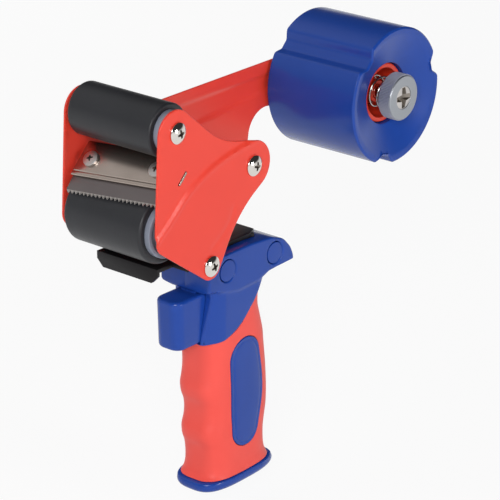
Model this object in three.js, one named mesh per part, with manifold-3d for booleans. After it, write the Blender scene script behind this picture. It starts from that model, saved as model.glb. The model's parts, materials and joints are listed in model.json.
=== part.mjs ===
// Hand-held tape dispenser: pressed steel frame, two rollers, blade, tape hub and pistol grip.
// Millimetres, +Z up, +X from the rollers to the tape hub, +Y from the short side plate to the long one.
// Sizes are laid out from the top roller's axis; the finished group stands on the middle of the grip.
import * as THREE from "three";
import { mergeVertices } from "three/addons/utils/BufferGeometryUtils.js";
import Module from "manifold-3d";

const wasm = await Module();
wasm.setup();

// ---- Fineness of round forms, in sides
const LARGE_ROUND = 32;
const ROUND = 20;
const SMALL_ROUND = 12;
const HEXAGON = 6;
const ARC_STEPS = 4; // steps of half an arc in a flat outline
const CURVE_STEPS = 16; // of a smooth edge
const COIL_STEPS = 8; // per turn of a spring
const WIRE_STEPS = 3; // half the sides of a spring's wire

// ---- Clearances
const GAP = 0.3; // between pieces that touch
const RUNNING_GAP = 0.35; // round a turning shaft, on the radius
const SLIDE_GAP = 0.6; // round the trigger, which pinches no finger
const BEYOND = 300; // reach of a cutting form that runs past every piece

// ---- Side plates
const PLATE_THICKNESS = 1.2;
const PLATE_SPACING = 61.6; // between the inner faces
const PLATE_INSIDE = PLATE_SPACING / 2; // inner face from the middle plane
const PLATE_OUTSIDE = PLATE_INSIDE + PLATE_THICKNESS;
const PANEL_RISE = 0.9; // how far the pressed panels stand out of the plates
const PANEL_LAP = 1.6; // width over which a pressed panel blends into its plate
const TOP_LOBE = { x: -1.2, z: -0.2, radius: 12.1 };
const REAR_LOBE_RADIUS = 13;
const BOTTOM_LOBE_RADIUS = 7.5;
const REAR_TIE = { x: 55.7, z: -31.5 };
const BOTTOM_TIE = { x: 23, z: -75.9 };
const FRONT_CORNER = { x: -7.8, z: -52.5, radius: 8.5 };
// A waist is a hollow arc between two lobes; clear is the least room between it and the lobe on each side.
const REAR_WAIST = { radius: 60, clearBefore: 1.4, clearAfter: 0.3 };
const TOP_WAIST = { radius: 50, clearBefore: 1.4, clearAfter: 3.6 };
// Front edge of the pressed panel over the lower rear of the near plate.
const PANEL_CURVE = [
  [-24, -56],
  [-7, -42.6],
  [8.4, -30.2],
  [31.5, -20.9],
  [62, -16.5],
];

// ---- Arm of the far plate
const HUB_AXIS = { x: 177.5, z: -25.9 };
const ARM_LOBE_RADIUS = 16;
const FAR_TOP_LOBE = { x: -0.9, z: -0.8, radius: 12.2 };
const ARM_TOP_WAIST = { radius: 20.3, clearBefore: 111.9, clearAfter: 3.3 };
const ARM_THROAT = { radius: 14.4, clearBefore: 4.5, clearAfter: 13.8 };
const GUSSET_CORNER = { x: 112, z: -62, radius: 12 };
const RIB_MARGIN = 7; // flat border left above the arm's pressed rib
const RIB_START = { x: 74, z: -25 };
const RIB_START_HALF_WIDTH = 7.5;
const RIB_END_HALF_WIDTH = 4.5;
const RIB_END_BEFORE_HUB = 24;

// ---- Plate screws and ties
const SCREW_SHANK_RADIUS = 2.5;
const SCREW_HEAD_RADIUS = 5.5;
const SCREW_HEAD_HEIGHT = 2.8;
const SCREW_HEAD_EDGE = 1.26;
const SCREW_LENGTH = 12;
const RECESS_DEPTH = 1.5;
const RECESS_ARM = 5.4; // length of the cross recess, tip to tip
const RECESS_WIDTH = 1.3;
const TIE_RADIUS = 4.5;

// ---- Top roller
const TOP_ROLLER_RADIUS = 13.73;
const TOP_ROLLER_ENDS = { near: 4.7 - PLATE_INSIDE, far: PLATE_INSIDE - 1.8 }; // of the rubber
const TOP_CORE_ENDS = { near: 0.8 - PLATE_INSIDE, far: PLATE_INSIDE - 0.8 };
const TOP_CORE_RADIUS = 10.6;
const CORE_WALL = 2.2;
const AXLE_RADIUS = 4.5;

// ---- Lower roller and its carriage
const LOWER_AXIS = { x: -0.9, z: -51.45 };
const LOWER_ROLLER_RADIUS = 18.05;
const LOWER_ROLLER_ENDS = { near: 7.4 - PLATE_INSIDE, far: PLATE_INSIDE - 2.4 }; // of the rubber
const LOWER_CORE_ENDS = { near: 4.4 - PLATE_INSIDE, far: PLATE_INSIDE - 1.5 };
const LOWER_CORE_RADIUS = 14.3;
const CORE_WEB_DEPTH = 5; // from the end of a core to the far side of its web
const LOWER_PIN_RADIUS = 3;
const CORE_BOSS_WALL = 2.5; // of the boss that runs on the pin or axle
const RUBBER_EDGE_RADIUS = 2;
const CHEEK_THICKNESS = 0.8;
const CHEEK_OUTSIDE = PLATE_INSIDE - 0.4;
const CHEEK_INSIDE = CHEEK_OUTSIDE - CHEEK_THICKNESS;
const CHEEK_ROLLER_RADIUS = 8;
const CHEEK_PIVOT_RADIUS = 6;
const WEB_THICKNESS = 2;
const WEB_TOP = LOWER_AXIS.z - LOWER_ROLLER_RADIUS - 3.7; // clear of the roller
const WEB_REAR_X = 15;
const WEB_STEP_X = 8; // in front of this the web is narrower
const LIP_FRONT_X = -3.5;
const LIP_HALF_WIDTH = 20.5;
const LIP_HEIGHT = 8;
const LIP_CHAMFER = 4;
const TAIL_HALF_WIDTH = 5;
const TAIL_THICKNESS = 2.5;
const TAIL_FRONT_X = 45;
const TAIL_END_Z = -99;
const TAIL_BEND_Z = -77.4;
const TAIL_HUMP = { front: 4.6, rear: 7, drop: 1 }; // where the tail passes over the bottom tie
const PRESS_SPRING = { wire: 1.2, turns: 4, start: 6.4, end: 12.2 };

// ---- Blade holder
const HOLDER_THICKNESS = 1.2;
const HOLDER_PLANE = 18.8; // the front plate lies in z = x - this value
const HOLDER_SKEW = THREE.MathUtils.degToRad(6.1);
const HEM_RADIUS = 0.9; // the rolled lower edge of the front plate
const HOLDER_HALF_WIDTH = PLATE_INSIDE - 2.3;
const HOLDER_FRONT_HEIGHT = 17.5; // from the rolled edge up to the top edge
const HOLDER_EDGE_MIDDLE = -27.4; // place of the rolled edge along the slope, at the middle plane
const HOLDER_WEB_DEPTH = 7.25;
const HOLDER_FLANGE_HEIGHT = 9;
const TAB_LENGTH = 7.6;
const TAB_PROUD = 0.2; // of the plate's outer face
const TAB_CENTRE = { x: 3.7, z: -24.5 };
const HOLDER_SCREW_RISE = 8.7; // above the rolled edge
const HOLDER_SCREW_FAR = HOLDER_HALF_WIDTH - 8.5;
const HOLDER_SCREW_NEAR = 7 - HOLDER_HALF_WIDTH;
const HOLDER_SCREW_HEAD = { radius: 4, height: 2 };
const HOLDER_SCREW_SHANK = 1.6;
const BLADE_HALF_LENGTH = HOLDER_HALF_WIDTH + 0.25;
const BLADE_THICKNESS = 0.8;
const BLADE_HEIGHT = 10; // of the strip below the rolled edge
const BLADE_TONGUE = 12; // clamped behind the holder's front plate
const TOOTH_PITCH = 2.5;
const TOOTH_DEPTH = 1.6;

// ---- Bracket between the frame and the handle
const BRACKET_THICKNESS = 2.2;
const BRACKET_REAR_X = 86;
const BRACKET_REAR_HALF_WIDTH = 10;
const BRACKET_SHOULDER_X = 52;
const BRACKET_CORNER = { length: 6.7, width: 3 };
const EAR_INSIDE = 13;
const EAR_THICKNESS = 2;
const EAR_RADIUS = 6;
const EAR_TOP_RADIUS = 7;
const EAR_FOOT = 2; // radius of the ear's rear foot
const TANG_INSIDE = 7.2;
const TANG_THICKNESS = 2;
const TANG_BOTTOM_Z = -99;
const TANG_FRONT_X = 50.6;
const TANG_STEP_Z = -90.3;
const TANG_SETBACK = 2; // of the tang's back from the base's back

// ---- Handle
const BLOCK_FRONT_X = 39.5;
const BLOCK_TOP_Z = -83.3;
const BLOCK_HALF_WIDTH = 16.8;
const BLOCK_EDGE = 1.4;
const BLOCK_FLOOR_Z = -100.4; // of the hollow, above the trigger
// Side view of the block from the front of its lower edge round to the top.
const BLOCK_OUTLINE = [
  [63.4, -106.4],
  [80, -105.5],
  [87.5, -103.2],
  [107.8, -102.4],
  [107.4, -99],
  [105.2, -94],
  [99.6, -88],
  [90, -84.4],
  [74, BLOCK_TOP_Z],
];
const BLOCK_FRONT_BOTTOM_Z = -101.2;
const BLOCK_CAVITY = {
  topZ: -87,
  floorX: 50,
  lowZ: -112,
  lowRearX: 80,
  rear: [
    [84, BLOCK_FLOOR_Z],
    [98.5, BLOCK_FLOOR_Z],
    [98.5, -93],
    [96.2, -89.6],
    [86, -87],
  ],
};
const NECK_TOP_Z = -102;
const NECK_FRONT = { topX: 46, bottomX: 41, topZ: -106.5, bottomZ: -132 };
const NECK_FRONT_HALF_WIDTH = 9.9;
const NECK_HALF_WIDTH = 16;
const NECK_FULL_WIDTH_X = 52;
const SHELL_WALL = 3;
const FRONT_WALL = 1.8; // of the block in front of the trigger's lug
const NECK_REAR = [
  [80, 16],
  [87, 9],
  [90, 5],
]; // half widths of the neck towards its back
// Side view of the grip below the trigger and up its back, carried past both its ends.
const GRIP_OUTLINE = [
  [45.4, -136],
  [45.3, -162],
  [46.3, -188],
  [47, -208.5],
  [45.2, -213.5],
  [42.8, -217.5],
  [42.8, -240],
  [96.6, -240],
  [96.6, -216],
  [94.4, -212.5],
  [91.6, -208],
  [90.3, -198],
  [91.3, -190],
  [93.3, -176],
  [93.2, -164],
  [92.2, -154],
  [90.4, -138.5],
  [87, -120.6],
  [88.4, -113],
  [91.5, -107.4],
  [96, -103.6],
  [97, -80],
];
const GRIP_FRONT_X = 46.2; // from which the depth of a finger groove is counted
// Line along which the blue neck ends and the red sleeve starts.
const SLEEVE_TOP = [
  [30, -132.4],
  [46.6, -133],
  [57.2, -131.2],
  [67.1, -126.4],
  [75.5, -118],
  [80.8, -110.8],
  [85, -104.2],
];
const GRIP_CAVITY = {
  frontX: 53,
  rearX: 86,
  ceilingZ: -100,
  stepZ: -138,
  rear: [
    [86, -205],
    [85, -150],
    [80, -118],
  ],
};
const GRIP_HALF_WIDTH = 15;
const GRIP_EDGE = 10;
const SLEEVE_WALL = 2.6;
const GRIP_MIDDLE = { x: 70, z: -165 };
const FINGER_GROOVES = [
  { z: -149.5, radius: 30, depth: 1.5 },
  { z: -175, radius: 26, depth: 2.4 },
  { z: -202.5, radius: 26, depth: 3.2 },
];
const CAP_SLOPE_START = { x: 44, z: -213.2 };
const CAP_SLOPE_END = { x: 96, z: -212.6 };
const CAP_HEIGHT = 5.9;
const CAP_SPIGOT = 8;
// The inlay's outline is a belt round two end arcs and a wide arc that bulges to the back.
const INLAY_ARCS = [
  { x: 70.3, z: -147, radius: 11.6 },
  { x: 70.5, z: -187.3, radius: 10.6 },
  { x: 35, z: -166, radius: 50 },
];
const INLAY = { proud: 0.4, ring: 1.2, groove: 0.6 };
const HANDLE_BOLTS = [
  { name: "front", x: BLOCK_FRONT_X + 14.8, z: BLOCK_TOP_Z - 9.2 },
  { name: "rear", x: BRACKET_REAR_X + 5.9, z: BLOCK_TOP_Z - 10.5 },
];
const BOLT_RADIUS = 2;
const PLUG_RADIUS = 5.8;
const PLUG_THICKNESS = 1.6;

// ---- Trigger
const TRIGGER_FRONT_X = 23.6;
const TRIGGER_TOP_Z = -105.4;
const TRIGGER_HEIGHT = 26.2;
const TRIGGER_BOTTOM_Z = TRIGGER_TOP_Z - TRIGGER_HEIGHT;
const TRIGGER_HALF_WIDTH = 8.5;
const TRIGGER_CORNER = 6;
const TRIGGER_EDGE = 1.6;
const TRIGGER_TRAVEL = 4.5;
const TRIGGER_SHOULDER_X = 52; // back of the shoulder that keeps the trigger in the handle
const SHOULDER = { length: 4, proud: 1.6, rise: 1 };
const LUG_HALF_WIDTH = 5;
const LUG_REAR_X = 44.1;
const LUG_LENGTH = 2.4;
const LUG_TOP_Z = -93.5;
const RETURN_SPRING = { radius: 3.6, wire: 1, turns: 6, pocket: 12, seatX: 60.5, z: -119 };
const SPRING_WALL = 3; // behind the spring's seat

// ---- Tape hub
const HUB_RADIUS = 37.5;
const HUB_ENDS = { near: 0.9 - PLATE_INSIDE, far: PLATE_INSIDE - 1.4 };
const HUB_WALL = 3;
const HUB_RIM = { width: 2, edge: 0.9 }; // flat and rounding at the near end
const HUB_GROOVE = { width: 13, depth: 3, angles: [20, 140, 260] };
const HUB_DISH = 7.4; // the near end is a shallow cone, this deep at the bore
const HUB_BORE_RADIUS = 16.8;
const HUB_TUBE_WALL = 2;
const HUB_FLOOR = { near: -2, far: 0 };
const HUB_WEB = { near: HUB_ENDS.far - 4.2, far: HUB_ENDS.far - 1.2 };
const HUB_BOSS_LENGTH = 8;
const HUB_BOSS_WALL = 4;
const SPINDLE_RADIUS = 4;
const SPINDLE_NEAR_Y = -PLATE_INSIDE - 1.2;
const SPINDLE_FAR_Y = PLATE_OUTSIDE + 7;
const SPINDLE_NUT = { acrossFlats: 13, height: 5 };
const SPINDLE_COLLAR_RADIUS = 7;
const WASHER = { outer: 12.5, thickness: 2 };
const LOCK_NUT = { acrossFlats: 12, height: 3.6 };
const KNOB_RADIUS = 12.7;
const KNOB_LENGTH = 8.3;
const KNOB_FRONT_Y = SPINDLE_NEAR_Y - 2.7;
const KNOB_REAR_Y = KNOB_FRONT_Y + KNOB_LENGTH;
const KNOB_EDGE = 0.8;
const KNOB_FLUTES = 24;
const KNOB_FLUTE_DEPTH = 0.7;
const KNOB_RECESS = { radius: 6.3, depth: 1.6 };
const CUP = { outer: 16.3, inner: 13.6, near: KNOB_REAR_Y + 5.7, floor: 2, boss: 6, bossLength: 12.7 };
const BRAKE_SPRING = { radius: 8.3, wire: 1.2, turns: 5 };

// ---- Values that follow from the sizes above
const GRIP_OFFSET = new THREE.Vector3(-GRIP_MIDDLE.x, 0, -GRIP_MIDDLE.z);
const CUP_FAR_Y = HUB_FLOOR.near - GAP;

// ---- Materials
const finish = (color, roughness, metalness) =>
  new THREE.MeshStandardMaterial({ color, roughness, metalness });
const RED_PAINT = finish("#ee4f43", 0.35, 0.1);
const RED_GRIP = finish("#f05b52", 0.6, 0);
const BLUE_PLASTIC = finish("#2b4aa0", 0.4, 0);
const RUBBER = finish("#3a3a3c", 0.75, 0);
const GREY_PLASTIC = finish("#8f9196", 0.5, 0);
const BLACK_STEEL = finish("#1d1c1e", 0.45, 0.4);
const BRIGHT_STEEL = finish("#c9c8c4", 0.25, 1);
const BRUSHED_STEEL = finish("#9c948c", 0.35, 1);
const BLADE_STEEL = finish("#5d5759", 0.45, 0.9);
const KNOB_ALLOY = finish("#a3a5a6", 0.4, 1);
const ORANGE_PLASTIC = finish("#e0482f", 0.4, 0);

// ---- Solids: joining and cutting closed geometries
// A geometry that came out of a cut or a join already shares its vertices, so it is taken as it is.
function solidOf(geometry) {
  const bare = geometry.clone();
  bare.deleteAttribute("normal");
  bare.deleteAttribute("uv");
  const merged = bare.userData.sharesVertices ? bare : mergeVertices(bare, 1e-4);
  return new wasm.Manifold(
    new wasm.Mesh({
      numProp: 3,
      vertProperties: merged.attributes.position.array,
      triVerts: new Uint32Array(merged.index.array),
    }),
  );
}

function geometryOf(solid) {
  const mesh = solid.getMesh();
  const geometry = new THREE.BufferGeometry();
  geometry.setAttribute("position", new THREE.BufferAttribute(mesh.vertProperties, 3));
  geometry.setIndex(new THREE.BufferAttribute(mesh.triVerts, 1));
  geometry.userData.sharesVertices = true;
  return geometry;
}

function join(first, ...others) {
  const sum = others.reduce((whole, next) => whole.add(solidOf(next)), solidOf(first));
  return geometryOf(sum);
}

function cut(body, ...tools) {
  const rest = tools.reduce((whole, tool) => whole.subtract(solidOf(tool)), solidOf(body));
  return geometryOf(rest);
}

function common(first, second) {
  return geometryOf(solidOf(first).intersect(solidOf(second)));
}

// ---- Basic forms; every round form has its axis along Y
function box(x0, x1, y0, y1, z0, z1) {
  return new THREE.BoxGeometry(x1 - x0, y1 - y0, z1 - z0).translate(
    (x0 + x1) / 2,
    (y0 + y1) / 2,
    (z0 + z1) / 2,
  );
}

function rod(radius, y0, y1, at = { x: 0, z: 0 }, sides = ROUND) {
  const length = y1 - y0;
  return new THREE.CylinderGeometry(radius, radius, length, sides).translate(at.x, y0 + length / 2, at.z);
}

function prism(acrossFlats, y0, y1, at) {
  return rod(acrossFlats / Math.sqrt(3), y0, y1, at, HEXAGON);
}

// Turned part from [radius, y] corners, in either direction round the section.
function turned(corners, at = { x: 0, z: 0 }, sides = ROUND) {
  const section = corners.map(([radius, y]) => new THREE.Vector2(radius, y));
  if (THREE.ShapeUtils.area(section) < 0) section.reverse();
  section.push(section[0].clone());
  return new THREE.LatheGeometry(section, sides).translate(at.x, 0, at.z);
}

function ring(outer, inner, y0, y1, at, sides) {
  return turned([[inner, y0], [outer, y0], [outer, y1], [inner, y1]], at, sides);
}

// Flat part: an outline in X and Z between two Y values, with rounded edges if asked.
function flat(outline, y0, y1, edge = 0, inset = 0, steps = 3) {
  const depth = y1 - y0 - 2 * edge;
  const geometry = new THREE.ExtrudeGeometry(outline, {
    depth,
    curveSegments: ARC_STEPS,
    bevelEnabled: edge > 0,
    bevelThickness: edge,
    bevelSize: edge,
    bevelOffset: -edge - inset,
    bevelSegments: steps,
  });
  return geometry.rotateX(Math.PI / 2).translate(0, y1 - edge, 0);
}

// A level part: an outline in X and Y between two Z values.
function level(outline, z0, z1) {
  return new THREE.ExtrudeGeometry(outline, { depth: z1 - z0, bevelEnabled: false }).translate(0, 0, z0);
}

function outlineOf(points) {
  return new THREE.Shape(points.map(([x, y]) => new THREE.Vector2(x, y)));
}

function curveThrough(points) {
  const curve = new THREE.SplineCurve(points.map(([x, z]) => new THREE.Vector2(x, z)));
  return curve.getPoints(CURVE_STEPS).map((p) => [p.x, p.y]);
}

// Outline of a belt laid round circles in turn; a hollow circle bends the belt inwards.
function belt(circles) {
  const outline = new THREE.Shape();
  const side = (circle) => (circle.hollow ? -1 : 1);
  const heading = (from, to) => {
    const dx = to.x - from.x;
    const dz = to.z - from.z;
    const turn = side(to) * to.radius - side(from) * from.radius;
    return Math.atan2(dz, dx) - Math.asin(turn / Math.hypot(dx, dz));
  };
  circles.forEach((circle, i) => {
    const before = circles[(i + circles.length - 1) % circles.length];
    const after = circles[(i + 1) % circles.length];
    const quarter = (side(circle) * Math.PI) / 2;
    const start = heading(before, circle) - quarter;
    const end = heading(circle, after) - quarter;
    outline.absarc(circle.x, circle.z, circle.radius, start, end, Boolean(circle.hollow));
  });
  return outline;
}

function coil(radius, wire, turns, y0, y1, at) {
  const sides = COIL_STEPS;
  const points = [];
  const rise = (y1 - y0 - wire) / turns;
  for (let i = 0; i <= turns * sides; i += 1) {
    const angle = (i / sides) * 2 * Math.PI;
    const y = y0 + wire / 2 + (rise * i) / sides;
    points.push(new THREE.Vector3(at.x + radius * Math.cos(angle), y, at.z + radius * Math.sin(angle)));
  }
  const section = new THREE.Shape();
  section.absarc(0, 0, wire / 2, 0, 2 * Math.PI, false);
  return new THREE.ExtrudeGeometry(section, {
    steps: turns * sides,
    curveSegments: WIRE_STEPS,
    extrudePath: new THREE.CatmullRomCurve3(points),
  });
}

function piece(name, geometry, material) {
  const mesh = new THREE.Mesh(geometry, material);
  mesh.name = name;
  return mesh;
}

// ---- Side plates
const rearLobe = { ...REAR_TIE, radius: REAR_LOBE_RADIUS };
const bottomLobe = { ...BOTTOM_TIE, radius: BOTTOM_LOBE_RADIUS };
const armLobe = { ...HUB_AXIS, radius: ARM_LOBE_RADIUS };

// The hollow arc between two lobes of a belt that runs counter-clockwise.
function waist(before, shape, after) {
  const toBefore = before.radius + shape.radius + shape.clearBefore;
  const toAfter = after.radius + shape.radius + shape.clearAfter;
  const dx = after.x - before.x;
  const dz = after.z - before.z;
  const span = Math.hypot(dx, dz);
  const along = (toBefore ** 2 - toAfter ** 2 + span ** 2) / (2 * span);
  const off = Math.sqrt(toBefore ** 2 - along ** 2);
  return {
    x: before.x + (along * dx + off * dz) / span,
    z: before.z + (along * dz - off * dx) / span,
    radius: shape.radius,
    hollow: true,
  };
}

function nearOutline() {
  return belt([
    TOP_LOBE,
    FRONT_CORNER,
    bottomLobe,
    waist(bottomLobe, REAR_WAIST, rearLobe),
    rearLobe,
    waist(rearLobe, TOP_WAIST, TOP_LOBE),
  ]);
}

function farOutline() {
  return belt([
    FAR_TOP_LOBE,
    FRONT_CORNER,
    bottomLobe,
    GUSSET_CORNER,
    waist(GUSSET_CORNER, ARM_THROAT, armLobe),
    armLobe,
    waist(armLobe, ARM_TOP_WAIST, FAR_TOP_LOBE),
  ]);
}

// The pressed panel covers the lower rear of a plate; its front edge is one long curve.
function lowerPanel(shrink) {
  const edge = curveThrough(PANEL_CURVE).map(([x, z]) => [x + shrink * 0.5, z - shrink]);
  const [[frontX], [, topZ]] = [edge[0], edge.at(-1)];
  return outlineOf([...edge, [BEYOND, topZ], [BEYOND, -BEYOND], [frontX, -BEYOND]].reverse());
}

function armRib(shrink) {
  const end = { x: HUB_AXIS.x - RIB_END_BEFORE_HUB, z: HUB_AXIS.z + ARM_LOBE_RADIUS - RIB_MARGIN };
  return belt([
    { ...RIB_START, radius: RIB_START_HALF_WIDTH - shrink },
    { x: end.x, z: end.z - RIB_END_HALF_WIDTH, radius: RIB_END_HALF_WIDTH - shrink },
  ]);
}

// outward is +1 for the far plate and -1 for the near one.
function sidePlate(outline, panels, holes, outward) {
  const slab = (shape, from, to) => {
    const [y0, y1] = [outward * from, outward * to].sort((a, b) => a - b);
    return flat(shape, y0, y1);
  };
  const sheet = slab(outline, PLATE_INSIDE, PLATE_OUTSIDE);
  const raisedSheet = slab(outline, PLATE_INSIDE + PANEL_RISE, PLATE_OUTSIDE + PANEL_RISE);
  const reach = PANEL_RISE + PLATE_OUTSIDE + 1;
  const low = PLATE_INSIDE - 1;
  const base = cut(sheet, ...panels.map((panel) => slab(panel(PANEL_LAP), low, reach)));
  const raised = panels.map((panel) => common(raisedSheet, slab(panel(0), low, reach)));
  const bores = holes.map(({ x, z, radius }) => rodBetween(radius, low, reach, outward, { x, z }));
  return cut(join(base, ...raised), ...bores, tabSlot());
}

function rodBetween(radius, from, to, outward, at, sides) {
  const [y0, y1] = [outward * from, outward * to].sort((a, b) => a - b);
  return rod(radius, y0, y1, at, sides);
}

const screwHole = SCREW_SHANK_RADIUS + GAP;
const tieHoles = [
  { x: 0, z: 0, radius: screwHole },
  { ...REAR_TIE, radius: screwHole },
  { ...BOTTOM_TIE, radius: screwHole },
];

function nearSidePlate() {
  return sidePlate(nearOutline(), [lowerPanel], tieHoles, -1);
}

function farSidePlate() {
  const hubHole = { ...HUB_AXIS, radius: SPINDLE_RADIUS + GAP };
  return sidePlate(farOutline(), [armRib], [...tieHoles, hubHole], 1);
}

// How far out of the middle plane a plate's faces lie at each tie.
const nearRise = { top: 0, rear: PANEL_RISE, bottom: PANEL_RISE };
const farRise = { top: 0, rear: 0, bottom: 0 };

// ---- Screws and ties
function crossRecess(y0, y1, at) {
  const half = RECESS_ARM / 2;
  const slim = RECESS_WIDTH / 2;
  const [low, high] = [y0, y1].sort((a, b) => a - b);
  return join(
    box(at.x - half, at.x + half, low, high, at.z - slim, at.z + slim),
    box(at.x - slim, at.x + slim, low, high, at.z - half, at.z + half),
  );
}

function plateScrew(at, outward, rise) {
  const seat = PLATE_OUTSIDE + rise + GAP;
  const top = seat + SCREW_HEAD_HEIGHT;
  const edge = SCREW_HEAD_EDGE;
  const body = turned(
    [
      [0, outward * (seat - SCREW_LENGTH)],
      [SCREW_SHANK_RADIUS, outward * (seat - SCREW_LENGTH)],
      [SCREW_SHANK_RADIUS, outward * seat],
      [SCREW_HEAD_RADIUS, outward * seat],
      [SCREW_HEAD_RADIUS, outward * (top - edge)],
      [SCREW_HEAD_RADIUS - edge, outward * top],
      [0, outward * top],
    ],
    at,
  );
  return cut(body, crossRecess(outward * (top - RECESS_DEPTH), outward * (top + 1), at));
}

// A tube between the plates, threaded at both ends for the plate screws.
function tie(radius, at, rise) {
  const near = -(PLATE_INSIDE + rise.near - GAP);
  const far = PLATE_INSIDE + rise.far - GAP;
  const bore = SCREW_SHANK_RADIUS + GAP;
  const depth = SCREW_LENGTH - PLATE_THICKNESS;
  return cut(
    rod(radius, near, far, at),
    rod(bore, near - 1, near + depth, at, SMALL_ROUND),
    rod(bore, far - depth, far + 1, at, SMALL_ROUND),
  );
}

// ---- Rollers
function rubberSleeve(radius, coreRadius, ends, at, edge) {
  const inner = coreRadius + GAP;
  const { near, far } = ends;
  return turned(
    [
      [inner, near],
      [radius - edge, near],
      [radius, near + edge],
      [radius, far - edge],
      [radius - edge, far],
      [inner, far],
    ],
    at,
    LARGE_ROUND,
  );
}

// A core tube with a web and a boss at each end; the bosses run on the axle and keep the roller in place.
function rollerCore(radius, pin, ends, bossEnds, at) {
  const bore = pin + RUNNING_GAP;
  const boss = bore + CORE_BOSS_WALL;
  const web = CORE_WEB_DEPTH;
  const inner = radius - CORE_WALL;
  return turned(
    [
      [bore, bossEnds.near],
      [boss, bossEnds.near],
      [boss, ends.near + web],
      [inner, ends.near + web],
      [inner, ends.near],
      [radius, ends.near],
      [radius, ends.far],
      [inner, ends.far],
      [inner, ends.far - web],
      [boss, ends.far - web],
      [boss, bossEnds.far],
      [bore, bossEnds.far],
    ],
    at,
  );
}

// The lower roller's pin is held by the carriage cheeks.
function lowerPin() {
  return rod(LOWER_PIN_RADIUS, -CHEEK_OUTSIDE, CHEEK_OUTSIDE, LOWER_AXIS, SMALL_ROUND);
}

// ---- Carriage of the lower roller, which swings on the bottom tie
function carriageCheek(y0, y1) {
  const outline = belt([
    { ...LOWER_AXIS, radius: CHEEK_ROLLER_RADIUS },
    { ...BOTTOM_TIE, radius: CHEEK_PIVOT_RADIUS },
  ]);
  return flat(outline, y0, y1);
}

function carriageTail() {
  const { x, z } = BOTTOM_TIE;
  const over = z + TIE_RADIUS + GAP;
  const { front, rear: back, drop } = TAIL_HUMP;
  const rear = TAIL_FRONT_X + TAIL_THICKNESS;
  const outline = outlineOf([
    [WEB_REAR_X - 2, WEB_TOP - WEB_THICKNESS],
    [WEB_REAR_X + 1, WEB_TOP - WEB_THICKNESS],
    [x - front, over - drop],
    [x, over + GAP],
    [x + back, over - drop],
    [TAIL_FRONT_X, TAIL_BEND_Z - 0.8 * TAIL_THICKNESS],
    [TAIL_FRONT_X, TAIL_END_Z],
    [rear, TAIL_END_Z],
    [rear, TAIL_BEND_Z],
    [x + back + drop, over + TAIL_THICKNESS - drop],
    [x, over + TAIL_THICKNESS],
    [x - front - drop, over + TAIL_THICKNESS - drop],
    [WEB_REAR_X - 2, WEB_TOP],
  ]);
  return flat(outline, -TAIL_HALF_WIDTH, TAIL_HALF_WIDTH);
}

function rollerCarriage() {
  const webBottom = WEB_TOP - WEB_THICKNESS;
  const lipOutline = outlineOf([
    [-LIP_HALF_WIDTH, WEB_TOP],
    [-LIP_HALF_WIDTH, WEB_TOP - LIP_HEIGHT + LIP_CHAMFER],
    [-LIP_HALF_WIDTH + LIP_CHAMFER, WEB_TOP - LIP_HEIGHT],
    [LIP_HALF_WIDTH - LIP_CHAMFER, WEB_TOP - LIP_HEIGHT],
    [LIP_HALF_WIDTH, WEB_TOP - LIP_HEIGHT + LIP_CHAMFER],
    [LIP_HALF_WIDTH, WEB_TOP],
  ]);
  const lip = new THREE.ExtrudeGeometry(lipOutline, { depth: WEB_THICKNESS, bevelEnabled: false });
  lip.rotateX(Math.PI / 2).rotateZ(Math.PI / 2).translate(LIP_FRONT_X, 0, 0);
  const web = box(WEB_STEP_X, WEB_REAR_X, -CHEEK_OUTSIDE, CHEEK_OUTSIDE, webBottom, WEB_TOP);
  const tongue = box(LIP_FRONT_X, WEB_REAR_X, -LIP_HALF_WIDTH, LIP_HALF_WIDTH, webBottom, WEB_TOP);
  const body = join(
    carriageCheek(CHEEK_INSIDE, CHEEK_OUTSIDE),
    carriageCheek(-CHEEK_OUTSIDE, -CHEEK_INSIDE),
    web,
    tongue,
    lip,
    carriageTail(),
  );
  const span = CHEEK_OUTSIDE + 1;
  return cut(
    body,
    rod(LOWER_PIN_RADIUS + GAP, -span, span, LOWER_AXIS),
    rod(TIE_RADIUS + RUNNING_GAP, -span, span, BOTTOM_TIE),
  );
}

function carriageSpring() {
  const { wire, turns, start, end } = PRESS_SPRING;
  const radius = TIE_RADIUS + 2 * GAP + wire / 2;
  return coil(radius, wire, turns, start, end, BOTTOM_TIE);
}

// ---- Blade holder: built level with its rolled edge along Y, then turned into its sloping, skewed place
function intoHolderPlane(geometry) {
  geometry.rotateZ(HOLDER_SKEW);
  geometry.rotateY(-Math.PI / 4);
  const middle = HOLDER_EDGE_MIDDLE * Math.SQRT1_2;
  return geometry.translate(HOLDER_PLANE / 2 + middle, 0, -HOLDER_PLANE / 2 + middle);
}

// In the holder's own frame X runs up the slope from the rolled edge, Y along it, Z out of the front face.
function holderScrewHole(y) {
  const radius = HOLDER_SCREW_SHANK + GAP;
  return new THREE.CylinderGeometry(radius, radius, HOLDER_WEB_DEPTH, SMALL_ROUND)
    .rotateX(Math.PI / 2)
    .translate(HOLDER_SCREW_RISE, y, 0);
}

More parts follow.
